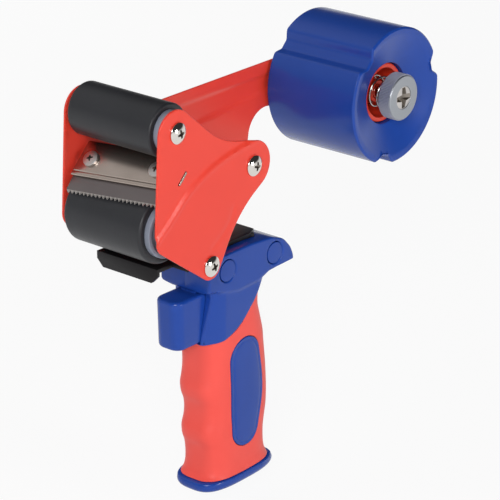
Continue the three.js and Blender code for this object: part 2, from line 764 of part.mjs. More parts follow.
function bladeHolder() {
  const t = HOLDER_THICKNESS;
  const reach = 2 * HOLDER_HALF_WIDTH;
  const front = box(0, HOLDER_FRONT_HEIGHT, -reach, reach, -t, 0);
  const web = box(HOLDER_FRONT_HEIGHT - t, HOLDER_FRONT_HEIGHT, -reach, reach, -HOLDER_WEB_DEPTH, 0);
  const drop = HOLDER_FRONT_HEIGHT - HOLDER_FLANGE_HEIGHT;
  const rear = box(drop, HOLDER_FRONT_HEIGHT, -reach, reach, -HOLDER_WEB_DEPTH, t - HOLDER_WEB_DEPTH);
  const hem = rod(HEM_RADIUS, -reach, reach, { x: 0, z: -HEM_RADIUS }, SMALL_ROUND);
  const sheet = cut(
    join(front, web, rear, hem),
    holderScrewHole(HOLDER_SCREW_FAR),
    holderScrewHole(HOLDER_SCREW_NEAR),
  );
  const between = box(-BEYOND, BEYOND, -HOLDER_HALF_WIDTH, HOLDER_HALF_WIDTH, -BEYOND, BEYOND);
  return join(common(intoHolderPlane(sheet), between), ...tabs());
}

function slantedBar(length, thickness, y0, y1) {
  return box(-length / 2, length / 2, y0, y1, -thickness / 2, thickness / 2)
    .rotateY(-Math.PI / 4)
    .translate(TAB_CENTRE.x, 0, TAB_CENTRE.z);
}

function tabs() {
  const root = HOLDER_HALF_WIDTH - HOLDER_THICKNESS;
  const end = PLATE_OUTSIDE + TAB_PROUD;
  return [
    slantedBar(TAB_LENGTH, HOLDER_THICKNESS, root, end),
    slantedBar(TAB_LENGTH, HOLDER_THICKNESS, -end, -root),
  ];
}

function tabSlot() {
  const end = PLATE_OUTSIDE + PANEL_RISE + 1;
  return slantedBar(TAB_LENGTH + 2 * GAP, HOLDER_THICKNESS + 2 * GAP, -end, end);
}

function holderScrew(y) {
  const { radius, height } = HOLDER_SCREW_HEAD;
  const tip = 2 * HEM_RADIUS + GAP + BLADE_THICKNESS + 1;
  const body = turned([
    [0, -tip],
    [HOLDER_SCREW_SHANK, -tip],
    [HOLDER_SCREW_SHANK, GAP],
    [radius, GAP],
    [radius, height / 2],
    [radius * 0.7, height],
    [0, height],
  ]);
  const recess = crossRecess(height / 2, height + 1, { x: 0, z: 0 }).scale(0.6, 1, 0.6);
  return intoHolderPlane(cut(body, recess).rotateX(Math.PI / 2).translate(HOLDER_SCREW_RISE, y, 0));
}

// A flat strip clamped behind the front plate, with a toothed lower edge.
function cuttingBlade() {
  const teeth = Math.floor((2 * BLADE_HALF_LENGTH) / TOOTH_PITCH);
  const start = (-teeth * TOOTH_PITCH) / 2;
  const root = TOOTH_DEPTH - BLADE_HEIGHT;
  const points = [[BLADE_TONGUE, start], [root, start]];
  for (let i = 0; i < teeth; i += 1) {
    const y = start + i * TOOTH_PITCH;
    points.push([-BLADE_HEIGHT, y + TOOTH_PITCH / 2], [root, y + TOOTH_PITCH]);
  }
  points.push([BLADE_TONGUE, -start]);
  const strip = new THREE.ExtrudeGeometry(outlineOf(points.reverse()), {
    depth: BLADE_THICKNESS,
    bevelEnabled: false,
  });
  const back = -2 * HEM_RADIUS - GAP;
  strip.translate(0, 0, back - BLADE_THICKNESS);
  return intoHolderPlane(cut(strip, holderScrewHole(HOLDER_SCREW_FAR), holderScrewHole(HOLDER_SCREW_NEAR)));
}

// ---- Bracket: base on the handle block, ears up to the two ties, tang down into the handle
function bracketEar(y0, y1) {
  const seat = BLOCK_TOP_Z + GAP + BRACKET_THICKNESS;
  const outline = belt([
    { ...BOTTOM_TIE, radius: EAR_RADIUS },
    { x: BRACKET_SHOULDER_X - EAR_FOOT, z: seat + EAR_FOOT - BRACKET_THICKNESS, radius: EAR_FOOT },
    { ...REAR_TIE, radius: EAR_TOP_RADIUS },
  ]);
  return flat(outline, y0, y1);
}

function bracketTang(y0, y1) {
  const top = BLOCK_TOP_Z + GAP + 1;
  const step = BRACKET_REAR_X - TANG_SETBACK;
  const end = HANDLE_BOLTS[1].x + 2 * BOLT_RADIUS;
  return flat(
    outlineOf([
      [TANG_FRONT_X, top],
      [TANG_FRONT_X, TANG_BOTTOM_Z],
      [end, TANG_BOTTOM_Z],
      [end, TANG_STEP_Z],
      [step, TANG_STEP_Z],
      [step, top],
    ]),
    y0,
    y1,
  );
}

function chassisBracket() {
  const low = BLOCK_TOP_Z + GAP;
  const high = low + BRACKET_THICKNESS;
  const wide = EAR_INSIDE + EAR_THICKNESS;
  const narrow = BRACKET_REAR_HALF_WIDTH;
  const { length, width } = BRACKET_CORNER;
  const base = level(
    outlineOf([
      [BLOCK_FRONT_X, -wide],
      [BRACKET_SHOULDER_X, -wide],
      [BRACKET_SHOULDER_X, -narrow],
      [BRACKET_REAR_X - length, -narrow],
      [BRACKET_REAR_X, -narrow + width],
      [BRACKET_REAR_X, narrow - width],
      [BRACKET_REAR_X - length, narrow],
      [BRACKET_SHOULDER_X, narrow],
      [BRACKET_SHOULDER_X, wide],
      [BLOCK_FRONT_X, wide],
    ]),
    low,
    high,
  );
  const earOut = EAR_INSIDE + EAR_THICKNESS;
  const tangOut = TANG_INSIDE + TANG_THICKNESS;
  const whole = join(
    base,
    bracketEar(EAR_INSIDE, earOut),
    bracketEar(-earOut, -EAR_INSIDE),
    bracketTang(TANG_INSIDE, tangOut),
    bracketTang(-tangOut, -TANG_INSIDE),
  );
  const bolts = HANDLE_BOLTS.map((bolt) => rod(BOLT_RADIUS + GAP, -BEYOND, BEYOND, bolt, SMALL_ROUND));
  return cut(
    whole,
    tailSlot(low - 1, high + 1),
    rod(TIE_RADIUS + GAP, -earOut - 1, earOut + 1, REAR_TIE),
    rod(TIE_RADIUS + GAP, -earOut - 1, earOut + 1, BOTTOM_TIE),
    ...bolts,
  );
}

function tailSlot(z0, z1) {
  const half = TAIL_HALF_WIDTH + SLIDE_GAP;
  const rear = TAIL_FRONT_X + TAIL_THICKNESS + TRIGGER_TRAVEL;
  return box(TAIL_FRONT_X - 1.5, rear, -half, half, z0, z1);
}

// ---- Handle
const blockOutline = () =>
  outlineOf([
    [BLOCK_FRONT_X, BLOCK_FRONT_BOTTOM_Z],
    ...BLOCK_OUTLINE,
    [BLOCK_FRONT_X, BLOCK_TOP_Z],
  ]);

// Carried past both ends, so that the rounding of the edges runs out there.
const gripOutline = () =>
  outlineOf([
    [NECK_FRONT.topX, GRIP_OUTLINE.at(-1)[1]],
    [NECK_FRONT.topX, NECK_FRONT.topZ],
    [NECK_FRONT.bottomX, NECK_FRONT.bottomZ],
    ...GRIP_OUTLINE,
  ]);

function gripColumn(inset) {
  const half = GRIP_HALF_WIDTH - inset;
  const edge = GRIP_EDGE - inset;
  const column = flat(gripOutline(), -half, half, edge, inset, 3);
  const grooves = FINGER_GROOVES.map(({ z, radius, depth }) =>
    rod(radius, -half - 1, half + 1, { x: GRIP_FRONT_X + inset + depth - radius, z }, LARGE_ROUND),
  );
  return cut(column, ...grooves);
}

// A cutting form over the whole width.
function across(points) {
  return flat(outlineOf(points), -BEYOND, BEYOND);
}

// Everything above the curved line where the red sleeve starts.
function aboveSleeve(drop) {
  const edge = curveThrough(SLEEVE_TOP).map(([x, z]) => [x, z - drop]);
  const [[frontX], [, rearZ]] = [edge[0], edge.at(-1)];
  return across([...edge, [BEYOND, rearZ], [BEYOND, BEYOND], [frontX, BEYOND]]);
}

// Everything below the sloping top edge of the end cap.
function belowCapLine(drop) {
  const { x: x0, z: z0 } = CAP_SLOPE_START;
  const { x: x1, z: z1 } = CAP_SLOPE_END;
  const slope = (z1 - z0) / (x1 - x0);
  const at = (x) => z0 + slope * (x - x0) - drop;
  return across([[0, -BEYOND], [BEYOND, -BEYOND], [BEYOND, at(BEYOND)], [0, at(0)]]);
}

function neck() {
  const halves = [
    [NECK_FRONT.bottomX, NECK_FRONT_HALF_WIDTH],
    [NECK_FULL_WIDTH_X, NECK_HALF_WIDTH],
    ...NECK_REAR,
  ];
  const plan = outlineOf([...halves.map(([x, y]) => [x, -y]), ...halves.reverse()]);
  const side = flat(gripOutline(), -BEYOND, BEYOND);
  return common(common(level(plan, -BEYOND, NECK_TOP_Z), side), aboveSleeve(0));
}

// The solid form of both blue shells together, before they are hollowed.
function handleCore() {
  const block = flat(blockOutline(), -BLOCK_HALF_WIDTH, BLOCK_HALF_WIDTH, BLOCK_EDGE);
  const aboveNeck = box(0, BEYOND, -BEYOND, BEYOND, NECK_TOP_Z - 1, 0);
  const inner = cut(gripColumn(SLEEVE_WALL + GAP), belowCapLine(-GAP), aboveNeck);
  return join(block, neck(), inner);
}

function blockCavity() {
  const half = BLOCK_HALF_WIDTH - SHELL_WALL - PLUG_THICKNESS;
  const { topZ, floorX, lowZ, lowRearX, rear } = BLOCK_CAVITY;
  return flat(
    outlineOf([
      [BLOCK_FRONT_X + FRONT_WALL, topZ - 1],
      [BLOCK_FRONT_X + FRONT_WALL, BLOCK_FLOOR_Z],
      [floorX, BLOCK_FLOOR_Z],
      [floorX, lowZ],
      [lowRearX, lowZ],
      ...rear,
      [BLOCK_FRONT_X + SHELL_WALL, topZ],
    ]),
    -half,
    half,
  );
}

function gripCavity() {
  const half = GRIP_HALF_WIDTH - SLEEVE_WALL - SHELL_WALL;
  const { frontX, rearX, ceilingZ, stepZ, rear } = GRIP_CAVITY;
  const springWallX = RETURN_SPRING.seatX + SPRING_WALL;
  return flat(
    outlineOf([
      [springWallX, ceilingZ],
      [springWallX, stepZ],
      [frontX, stepZ - 4],
      [frontX, -BEYOND],
      [rearX, -BEYOND],
      ...rear,
      [rear.at(-1)[0], ceilingZ],
    ]),
    -half,
    half,
  );
}

function triggerOpening() {
  const half = TRIGGER_HALF_WIDTH + SLIDE_GAP / 2;
  const top = TRIGGER_TOP_Z + SLIDE_GAP;
  const rear = TRIGGER_SHOULDER_X - SHOULDER.length + 1;
  return box(0, rear, -half, half, TRIGGER_BOTTOM_Z - SLIDE_GAP, top);
}

function shoulderPocket() {
  const half = TRIGGER_HALF_WIDTH + SHOULDER.proud + SLIDE_GAP / 2;
  const front = TRIGGER_SHOULDER_X - SHOULDER.length - GAP;
  const low = TRIGGER_BOTTOM_Z + SHOULDER.rise - 2 * SLIDE_GAP;
  return box(front, RETURN_SPRING.seatX, -half, half, low, TRIGGER_TOP_Z + SLIDE_GAP);
}

function lugSlot() {
  const half = LUG_HALF_WIDTH + SLIDE_GAP;
  const front = BLOCK_FRONT_X + FRONT_WALL;
  const rear = LUG_REAR_X + TRIGGER_TRAVEL + SLIDE_GAP;
  return box(front, rear, -half, half, TRIGGER_TOP_Z - 2, BLOCK_FLOOR_Z + 2);
}

function handleShell(outward) {
  const [y0, y1] = outward > 0 ? [GAP / 2, BEYOND] : [-BEYOND, -GAP / 2];
  const half = box(0, BEYOND, y0, y1, -BEYOND, 0);
  const tangWide = TANG_INSIDE + TANG_THICKNESS + GAP;
  const tangFront = TANG_FRONT_X - SLIDE_GAP;
  const tangRear = BRACKET_REAR_X - TANG_SETBACK + SLIDE_GAP;
  const tangSlot = box(tangFront, tangRear, -tangWide, tangWide, BLOCK_CAVITY.topZ - 1, BLOCK_TOP_Z + 1);
  const bolts = HANDLE_BOLTS.flatMap((bolt) => [
    rod(BOLT_RADIUS + GAP, -BEYOND, BEYOND, bolt, SMALL_ROUND),
    rodBetween(PLUG_RADIUS + GAP, BLOCK_HALF_WIDTH - PLUG_THICKNESS - GAP, BEYOND, outward, bolt),
  ]);
  return cut(
    common(handleCore(), half),
    blockCavity(),
    gripCavity(),
    triggerOpening(),
    shoulderPocket(),
    lugSlot(),
    tangSlot,
    tailSlot(BLOCK_CAVITY.topZ - 1, BLOCK_TOP_Z + 1),
    ...bolts,
  );
}

function inlayOutline(margin) {
  return belt(INLAY_ARCS.map((arc) => ({ ...arc, radius: arc.radius + margin })));
}

function gripSleeve() {
  const outer = cut(gripColumn(0), aboveSleeve(GAP), belowCapLine(0));
  const windows = flat(inlayOutline(GAP), -BEYOND, BEYOND);
  return cut(outer, gripColumn(SLEEVE_WALL), windows);
}

function gripInlay(outward) {
  const from = GRIP_HALF_WIDTH - SLEEVE_WALL;
  const to = GRIP_HALF_WIDTH + INLAY.proud;
  const [y0, y1] = [outward * from, outward * to].sort((a, b) => a - b);
  const plate = flat(inlayOutline(0), y0, y1);
  const grooveAt = [outward * (to - 0.3), outward * (to + 1)].sort((a, b) => a - b);
  const rim = cut(
    flat(inlayOutline(-INLAY.ring), grooveAt[0], grooveAt[1]),
    flat(inlayOutline(-INLAY.ring - INLAY.groove), grooveAt[0] - 1, grooveAt[1] + 1),
  );
  return cut(plate, rim);
}

function endCap() {
  const body = common(gripColumn(0), belowCapLine(GAP));
  const trimmed = cut(body, belowCapLine(CAP_HEIGHT + GAP));
  const half = GRIP_HALF_WIDTH - SLEEVE_WALL - SHELL_WALL - GAP;
  const { frontX, rearX } = GRIP_CAVITY;
  const column = box(frontX + GAP, rearX - GAP, -half, half, -BEYOND, CAP_SLOPE_END.z + CAP_SPIGOT);
  return join(trimmed, cut(column, belowCapLine(CAP_HEIGHT - 1)));
}

function handleBolt(bolt) {
  const end = BLOCK_HALF_WIDTH - PLUG_THICKNESS - 2 * GAP;
  return rod(BOLT_RADIUS, -end, end, bolt, SMALL_ROUND);
}

function boltPlug(bolt, outward) {
  return rodBetween(PLUG_RADIUS, BLOCK_HALF_WIDTH - PLUG_THICKNESS, BLOCK_HALF_WIDTH, outward, bolt);
}

// ---- Trigger: a hollow-fronted pad with a shoulder inside the handle and a lug that works the carriage
function triggerPad() {
  const radius = TRIGGER_CORNER;
  const front = TRIGGER_FRONT_X;
  const half = TRIGGER_HALF_WIDTH;
  const plan = new THREE.Shape();
  plan.moveTo(TRIGGER_SHOULDER_X, -half);
  plan.lineTo(TRIGGER_SHOULDER_X, half);
  plan.lineTo(front + radius, half);
  plan.absarc(front + radius, half - radius, radius, Math.PI / 2, Math.PI, false);
  plan.absarc(front + radius, radius - half, radius, Math.PI, 1.5 * Math.PI, false);
  const edge = TRIGGER_EDGE;
  const pad = new THREE.ExtrudeGeometry(plan, {
    depth: TRIGGER_TOP_Z - TRIGGER_BOTTOM_Z - 2 * edge,
    bevelThickness: edge,
    bevelSize: edge,
    bevelOffset: -edge,
    bevelSegments: 3,
    curveSegments: ARC_STEPS,
  });
  return pad.translate(0, 0, TRIGGER_BOTTOM_Z + edge);
}

function trigger() {
  const half = TRIGGER_HALF_WIDTH + SHOULDER.proud;
  const shoulder = box(
    TRIGGER_SHOULDER_X - SHOULDER.length,
    TRIGGER_SHOULDER_X,
    -half,
    half,
    TRIGGER_BOTTOM_Z + SHOULDER.rise,
    TRIGGER_TOP_Z,
  );
  const lug = box(
    LUG_REAR_X - LUG_LENGTH,
    LUG_REAR_X,
    -LUG_HALF_WIDTH,
    LUG_HALF_WIDTH,
    TRIGGER_TOP_Z - 4,
    LUG_TOP_Z,
  );
  const pocketRadius = RETURN_SPRING.radius + RETURN_SPRING.wire / 2 + 3 * GAP;
  const springPocket = rod(pocketRadius, -RETURN_SPRING.pocket, 1, { x: 0, z: 0 }, SMALL_ROUND)
    .rotateZ(-Math.PI / 2)
    .translate(TRIGGER_SHOULDER_X, 0, RETURN_SPRING.z);
  return cut(join(triggerPad(), shoulder, lug), springPocket);
}

function triggerSpring() {
  const start = TRIGGER_SHOULDER_X - RETURN_SPRING.pocket + GAP;
  const spring = coil(
    RETURN_SPRING.radius,
    RETURN_SPRING.wire,
    RETURN_SPRING.turns,
    start,
    RETURN_SPRING.seatX - GAP,
    { x: 0, z: 0 },
  );
  return spring.rotateZ(-Math.PI / 2).translate(0, 0, RETURN_SPRING.z);
}

// ---- Tape hub
function hubDrum() {
  const r = HUB_RADIUS;
  const { near, far } = HUB_ENDS;
  const bore = SPINDLE_RADIUS + RUNNING_GAP;
  const boss = bore + HUB_BOSS_WALL;
  const tube = HUB_BORE_RADIUS + HUB_TUBE_WALL;
  const rimInside = r - HUB_GROOVE.depth - HUB_WALL;
  const washerRecess = WASHER.outer + 1;
  const shell = turned(
    [
      [HUB_BORE_RADIUS, near + HUB_DISH],
      [r - HUB_RIM.width, near],
      [r - HUB_RIM.edge / 3, near + HUB_RIM.edge / 3],
      [r, near + HUB_RIM.edge],
      [r, far],
      [washerRecess, far],
      [washerRecess, HUB_WEB.far],
      [bore, HUB_WEB.far],
      [bore, HUB_WEB.near - HUB_BOSS_LENGTH],
      [boss, HUB_WEB.near - HUB_BOSS_LENGTH],
      [boss, HUB_WEB.near],
      [rimInside, HUB_WEB.near],
      [rimInside, near + HUB_WALL + 1],
      [tube, near + HUB_DISH + HUB_WALL],
      [tube, HUB_FLOOR.far],
      [bore, HUB_FLOOR.far],
      [bore, HUB_FLOOR.near],
      [HUB_BORE_RADIUS, HUB_FLOOR.near],
    ],
    HUB_AXIS,
    LARGE_ROUND,
  );
  const grooves = HUB_GROOVE.angles.map((degrees) => {
    const angle = THREE.MathUtils.degToRad(degrees);
    return box(r - HUB_GROOVE.depth, BEYOND, -BEYOND, BEYOND, -HUB_GROOVE.width / 2, HUB_GROOVE.width / 2)
      .rotateY(-angle)
      .translate(HUB_AXIS.x, 0, HUB_AXIS.z);
  });
  return cut(shell, ...grooves);
}

// Fixed spindle: its collar bears on the arm from inside and its nut from outside.
function hubSpindle() {
  const collarEnd = PLATE_INSIDE - GAP;
  return turned(
    [
      [0, SPINDLE_NEAR_Y],
      [SPINDLE_RADIUS, SPINDLE_NEAR_Y],
      [SPINDLE_RADIUS, HUB_WEB.far + GAP],
      [SPINDLE_COLLAR_RADIUS, HUB_WEB.far + GAP],
      [SPINDLE_COLLAR_RADIUS, collarEnd],
      [SPINDLE_RADIUS, collarEnd],
      [SPINDLE_RADIUS, SPINDLE_FAR_Y],
      [0, SPINDLE_FAR_Y],
    ],
    HUB_AXIS,
  );
}

function nutOn(nut, y0, at) {
  const y1 = y0 + nut.height;
  return cut(prism(nut.acrossFlats, y0, y1, at), rod(SPINDLE_RADIUS + GAP, y0 - 1, y1 + 1, at));
}

function frictionWasher() {
  const y0 = HUB_WEB.far + GAP;
  return ring(WASHER.outer, SPINDLE_COLLAR_RADIUS + GAP, y0, y0 + WASHER.thickness, HUB_AXIS);
}

function brakeCup() {
  const bore = SPINDLE_RADIUS + GAP;
  const bossEnd = CUP_FAR_Y - CUP.floor - CUP.bossLength;
  return turned(
    [
      [CUP.inner, CUP.near],
      [CUP.outer, CUP.near],
      [CUP.outer, CUP_FAR_Y],
      [bore, CUP_FAR_Y],
      [bore, bossEnd],
      [CUP.boss, bossEnd],
      [CUP.boss, CUP_FAR_Y - CUP.floor],
      [CUP.inner, CUP_FAR_Y - CUP.floor],
    ],
    HUB_AXIS,
    LARGE_ROUND,
  );
}

function brakeSpring() {
  const from = KNOB_REAR_Y + GAP;
  const to = CUP_FAR_Y - CUP.floor - GAP;
  return coil(BRAKE_SPRING.radius, BRAKE_SPRING.wire, BRAKE_SPRING.turns, from, to, HUB_AXIS);
}

function brakeKnob() {
  const body = turned(
    [
      [0, KNOB_FRONT_Y + KNOB_RECESS.depth],
      [KNOB_RECESS.radius, KNOB_FRONT_Y + KNOB_RECESS.depth],
      [KNOB_RECESS.radius, KNOB_FRONT_Y],
      [KNOB_RADIUS - KNOB_EDGE, KNOB_FRONT_Y],
      [KNOB_RADIUS, KNOB_FRONT_Y + KNOB_EDGE],
      [KNOB_RADIUS, KNOB_REAR_Y - KNOB_EDGE],
      [KNOB_RADIUS - KNOB_EDGE, KNOB_REAR_Y],
      [0, KNOB_REAR_Y],
    ],
    HUB_AXIS,
    2 * KNOB_FLUTES,
  );
  const flutes = Array.from({ length: KNOB_FLUTES }, (_, i) => {
    const angle = (i / KNOB_FLUTES) * 2 * Math.PI;
    const reach = KNOB_RADIUS + 1 - KNOB_FLUTE_DEPTH;
    const at = {
      x: HUB_AXIS.x + reach * Math.cos(angle),
      z: HUB_AXIS.z + reach * Math.sin(angle),
    };
    return rod(1, KNOB_FRONT_Y - 1, KNOB_REAR_Y + 1, at, HEXAGON);
  });
  const thread = rod(SPINDLE_RADIUS + RUNNING_GAP, SPINDLE_NEAR_Y - GAP, KNOB_REAR_Y + 1, HUB_AXIS);
  return cut(body, ...flutes, thread);
}

function knobScrew() {
  const floor = KNOB_FRONT_Y + KNOB_RECESS.depth;
  const top = KNOB_FRONT_Y + GAP;
  const head = rod(KNOB_RECESS.radius - GAP, top, floor - GAP, HUB_AXIS);
  return cut(head, crossRecess(KNOB_FRONT_Y, top + (floor - top) / 2, HUB_AXIS));
}

// ---- Assembly
function framePieces() {
  const group = new THREE.Group();
  group.add(
    piece("near_side_plate", nearSidePlate(), RED_PAINT),
    piece("far_side_plate", farSidePlate(), RED_PAINT),
  );
  const ties = [
    { key: "top", at: { x: 0, z: 0 } },
    { key: "rear", at: REAR_TIE },
    { key: "bottom", at: BOTTOM_TIE },
  ];
  for (const { key, at } of ties) {
    group.add(piece(`near_screw_${key}`, plateScrew(at, -1, nearRise[key]), BRIGHT_STEEL));
    group.add(piece(`far_screw_${key}`, plateScrew(at, 1, farRise[key]), BRIGHT_STEEL));
  }
  const span = (key) => ({ near: nearRise[key], far: farRise[key] });
  group.add(
    piece("top_roller_axle", tie(AXLE_RADIUS, { x: 0, z: 0 }, span("top")), BRIGHT_STEEL),
    piece("rear_spacer", tie(TIE_RADIUS, REAR_TIE, span("rear")), BRIGHT_STEEL),
    piece("bottom_spacer", tie(TIE_RADIUS, BOTTOM_TIE, span("bottom")), BRIGHT_STEEL),
    piece("chassis_bracket", chassisBracket(), BLACK_STEEL),
  );
  return group;
}

function rollerPieces() {
  const group = new THREE.Group();
  const origin = { x: 0, z: 0 };
  const lowerBoss = { near: GAP - CHEEK_INSIDE, far: LOWER_CORE_ENDS.far };
  const topSleeve = rubberSleeve(
    TOP_ROLLER_RADIUS,
    TOP_CORE_RADIUS,
    TOP_ROLLER_ENDS,
    origin,
    RUBBER_EDGE_RADIUS / 2,
  );
  const lowerSleeve = rubberSleeve(
    LOWER_ROLLER_RADIUS,
    LOWER_CORE_RADIUS,
    LOWER_ROLLER_ENDS,
    LOWER_AXIS,
    RUBBER_EDGE_RADIUS,
  );
  const topCore = rollerCore(TOP_CORE_RADIUS, AXLE_RADIUS, TOP_CORE_ENDS, TOP_CORE_ENDS, origin);
  const lowerCore = rollerCore(LOWER_CORE_RADIUS, LOWER_PIN_RADIUS, LOWER_CORE_ENDS, lowerBoss, LOWER_AXIS);
  group.add(
    piece("top_roller_core", topCore, GREY_PLASTIC),
    piece("top_roller_sleeve", topSleeve, RUBBER),
    piece("lower_roller_core", lowerCore, GREY_PLASTIC),
    piece("lower_roller_sleeve", lowerSleeve, RUBBER),
    piece("lower_roller_axle", lowerPin(), BRIGHT_STEEL),
    piece("roller_carriage", rollerCarriage(), BLACK_STEEL),
    piece("carriage_spring", carriageSpring(), BRIGHT_STEEL),
  );
  return group;
}

function bladePieces() {
  const group = new THREE.Group();
  group.add(
    piece("blade_holder", bladeHolder(), BRUSHED_STEEL),
    piece("cutting_blade", cuttingBlade(), BLADE_STEEL),
    piece("blade_screw_far", holderScrew(HOLDER_SCREW_FAR), BRIGHT_STEEL),
    piece("blade_screw_near", holderScrew(HOLDER_SCREW_NEAR), BRIGHT_STEEL),
  );
  return group;
}

function handlePieces() {
  const group = new THREE.Group();
  group.add(
    piece("handle_shell_near", handleShell(-1), BLUE_PLASTIC),
    piece("handle_shell_far", handleShell(1), BLUE_PLASTIC),
    piece("grip_sleeve", gripSleeve(), RED_GRIP),
    piece("grip_inlay_near", gripInlay(-1), BLUE_PLASTIC),
    piece("grip_inlay_far", gripInlay(1), BLUE_PLASTIC),
    piece("end_cap", endCap(), BLUE_PLASTIC),
    piece("trigger", trigger(), BLUE_PLASTIC),
    piece("trigger_spring", triggerSpring(), BRIGHT_STEEL),
  );
  for (const bolt of HANDLE_BOLTS) {
    group.add(
      piece(`handle_bolt_${bolt.name}`, handleBolt(bolt), BRIGHT_STEEL),
      piece(`near_plug_${bolt.name}`, boltPlug(bolt, -1), BLUE_PLASTIC),
      piece(`far_plug_${bolt.name}`, boltPlug(bolt, 1), BLUE_PLASTIC),
    );
  }
  return group;
}

function hubPieces() {
  const group = new THREE.Group();
  group.add(
    piece("hub_drum", hubDrum(), BLUE_PLASTIC),
    piece("hub_spindle", hubSpindle(), BRIGHT_STEEL),
    piece("spindle_nut", nutOn(SPINDLE_NUT, PLATE_OUTSIDE + GAP, HUB_AXIS), BRIGHT_STEEL),
    piece("friction_washer", frictionWasher(), GREY_PLASTIC),
    piece("brake_cup", brakeCup(), ORANGE_PLASTIC),
    piece("brake_spring", brakeSpring(), BRIGHT_STEEL),
    piece("lock_nut", nutOn(LOCK_NUT, KNOB_REAR_Y + GAP, HUB_AXIS), BRIGHT_STEEL),
    piece("brake_knob", brakeKnob(), KNOB_ALLOY),
    piece("knob_screw", knobScrew(), BRIGHT_STEEL),
  );
  return group;
}

const tapeDispenser = new THREE.Group();
tapeDispenser.position.copy(GRIP_OFFSET);
tapeDispenser.add(framePieces(), rollerPieces(), bladePieces(), handlePieces(), hubPieces());

export default tapeDispenser;
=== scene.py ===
"""Visual model of a hand-held tape dispenser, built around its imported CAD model.

Lengths in this file are millimetres from the top roller's axis, as in the CAD layout;
`to_metres` moves them to the part's own frame, whose origin is the middle of the grip.
"""

from __future__ import annotations

import json
import logging
import math
from collections.abc import Callable, Mapping, Sequence
from dataclasses import dataclass, field
from enum import Enum

import bmesh
import bpy
import numpy as np
from mathutils import Matrix, Vector
from mathutils.geometry import delaunay_2d_cdt

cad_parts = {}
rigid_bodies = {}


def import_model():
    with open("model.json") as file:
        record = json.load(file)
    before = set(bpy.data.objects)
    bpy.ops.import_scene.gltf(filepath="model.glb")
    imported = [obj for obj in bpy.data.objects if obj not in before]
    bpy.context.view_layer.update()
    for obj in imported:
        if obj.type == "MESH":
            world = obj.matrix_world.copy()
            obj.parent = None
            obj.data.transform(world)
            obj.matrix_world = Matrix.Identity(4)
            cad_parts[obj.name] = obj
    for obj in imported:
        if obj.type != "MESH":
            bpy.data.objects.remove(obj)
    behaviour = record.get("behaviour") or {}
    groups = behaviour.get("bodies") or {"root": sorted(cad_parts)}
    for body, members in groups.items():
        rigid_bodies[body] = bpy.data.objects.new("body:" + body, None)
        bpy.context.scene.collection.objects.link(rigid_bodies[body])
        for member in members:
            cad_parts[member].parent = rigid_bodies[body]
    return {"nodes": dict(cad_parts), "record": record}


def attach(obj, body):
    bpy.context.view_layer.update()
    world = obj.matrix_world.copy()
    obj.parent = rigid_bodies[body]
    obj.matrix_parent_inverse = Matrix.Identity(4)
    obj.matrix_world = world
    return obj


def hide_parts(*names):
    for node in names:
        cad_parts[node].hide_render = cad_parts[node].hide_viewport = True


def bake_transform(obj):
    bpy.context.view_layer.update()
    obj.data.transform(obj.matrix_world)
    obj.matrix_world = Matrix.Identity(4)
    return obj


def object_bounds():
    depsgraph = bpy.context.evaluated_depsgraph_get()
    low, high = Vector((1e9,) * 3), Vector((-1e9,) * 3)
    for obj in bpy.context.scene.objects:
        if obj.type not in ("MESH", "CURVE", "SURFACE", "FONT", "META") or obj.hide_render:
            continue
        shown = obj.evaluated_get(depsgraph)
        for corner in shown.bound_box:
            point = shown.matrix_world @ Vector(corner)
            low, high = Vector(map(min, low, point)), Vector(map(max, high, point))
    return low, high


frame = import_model()
CAD_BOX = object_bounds()

log = logging.getLogger("tape_dispenser")

MM = 0.001
GRIP_MIDDLE = np.array((70.0, 0.0, -165.0))
SHARP_EDGE = math.radians(38)
FLAT_EDGE = math.radians(1)  # edges flatter than this go
ROUNDED_EDGE = math.radians(40)  # edges sharper than this are rounded
SLIVER = 0.01  # mm²; smaller patches of a face are rounding errors at its rim
MERGE = 2e-6  # metres; points closer than this are one
SLANT = math.sqrt(0.5)  # sine and cosine of the blade holder's 45 degrees

Loop = np.ndarray  # N points in two dimensions, counter-clockwise when closed
Cloud = np.ndarray  # N points in three dimensions
Pair = tuple[float, float]
Triple = tuple[float, float, float]
Disc = Triple  # x, z, radius; a negative radius bends a belt inwards
SIDES = (("near", -1), ("far", 1))  # the two sides of the middle plane and the way of their Y


# ---- Lines and outlines


def to_metres(points: Cloud) -> Cloud:
    """Moves points from the roller's axis to the grip's middle, in metres."""
    return (np.asarray(points, float) - GRIP_MIDDLE) * MM


def smooth(t: np.ndarray) -> np.ndarray:
    """An S-shaped step from 0 to 1 as t goes from 0 to 1."""
    t = np.clip(t, 0.0, 1.0)
    return t * t * (3.0 - 2.0 * t)


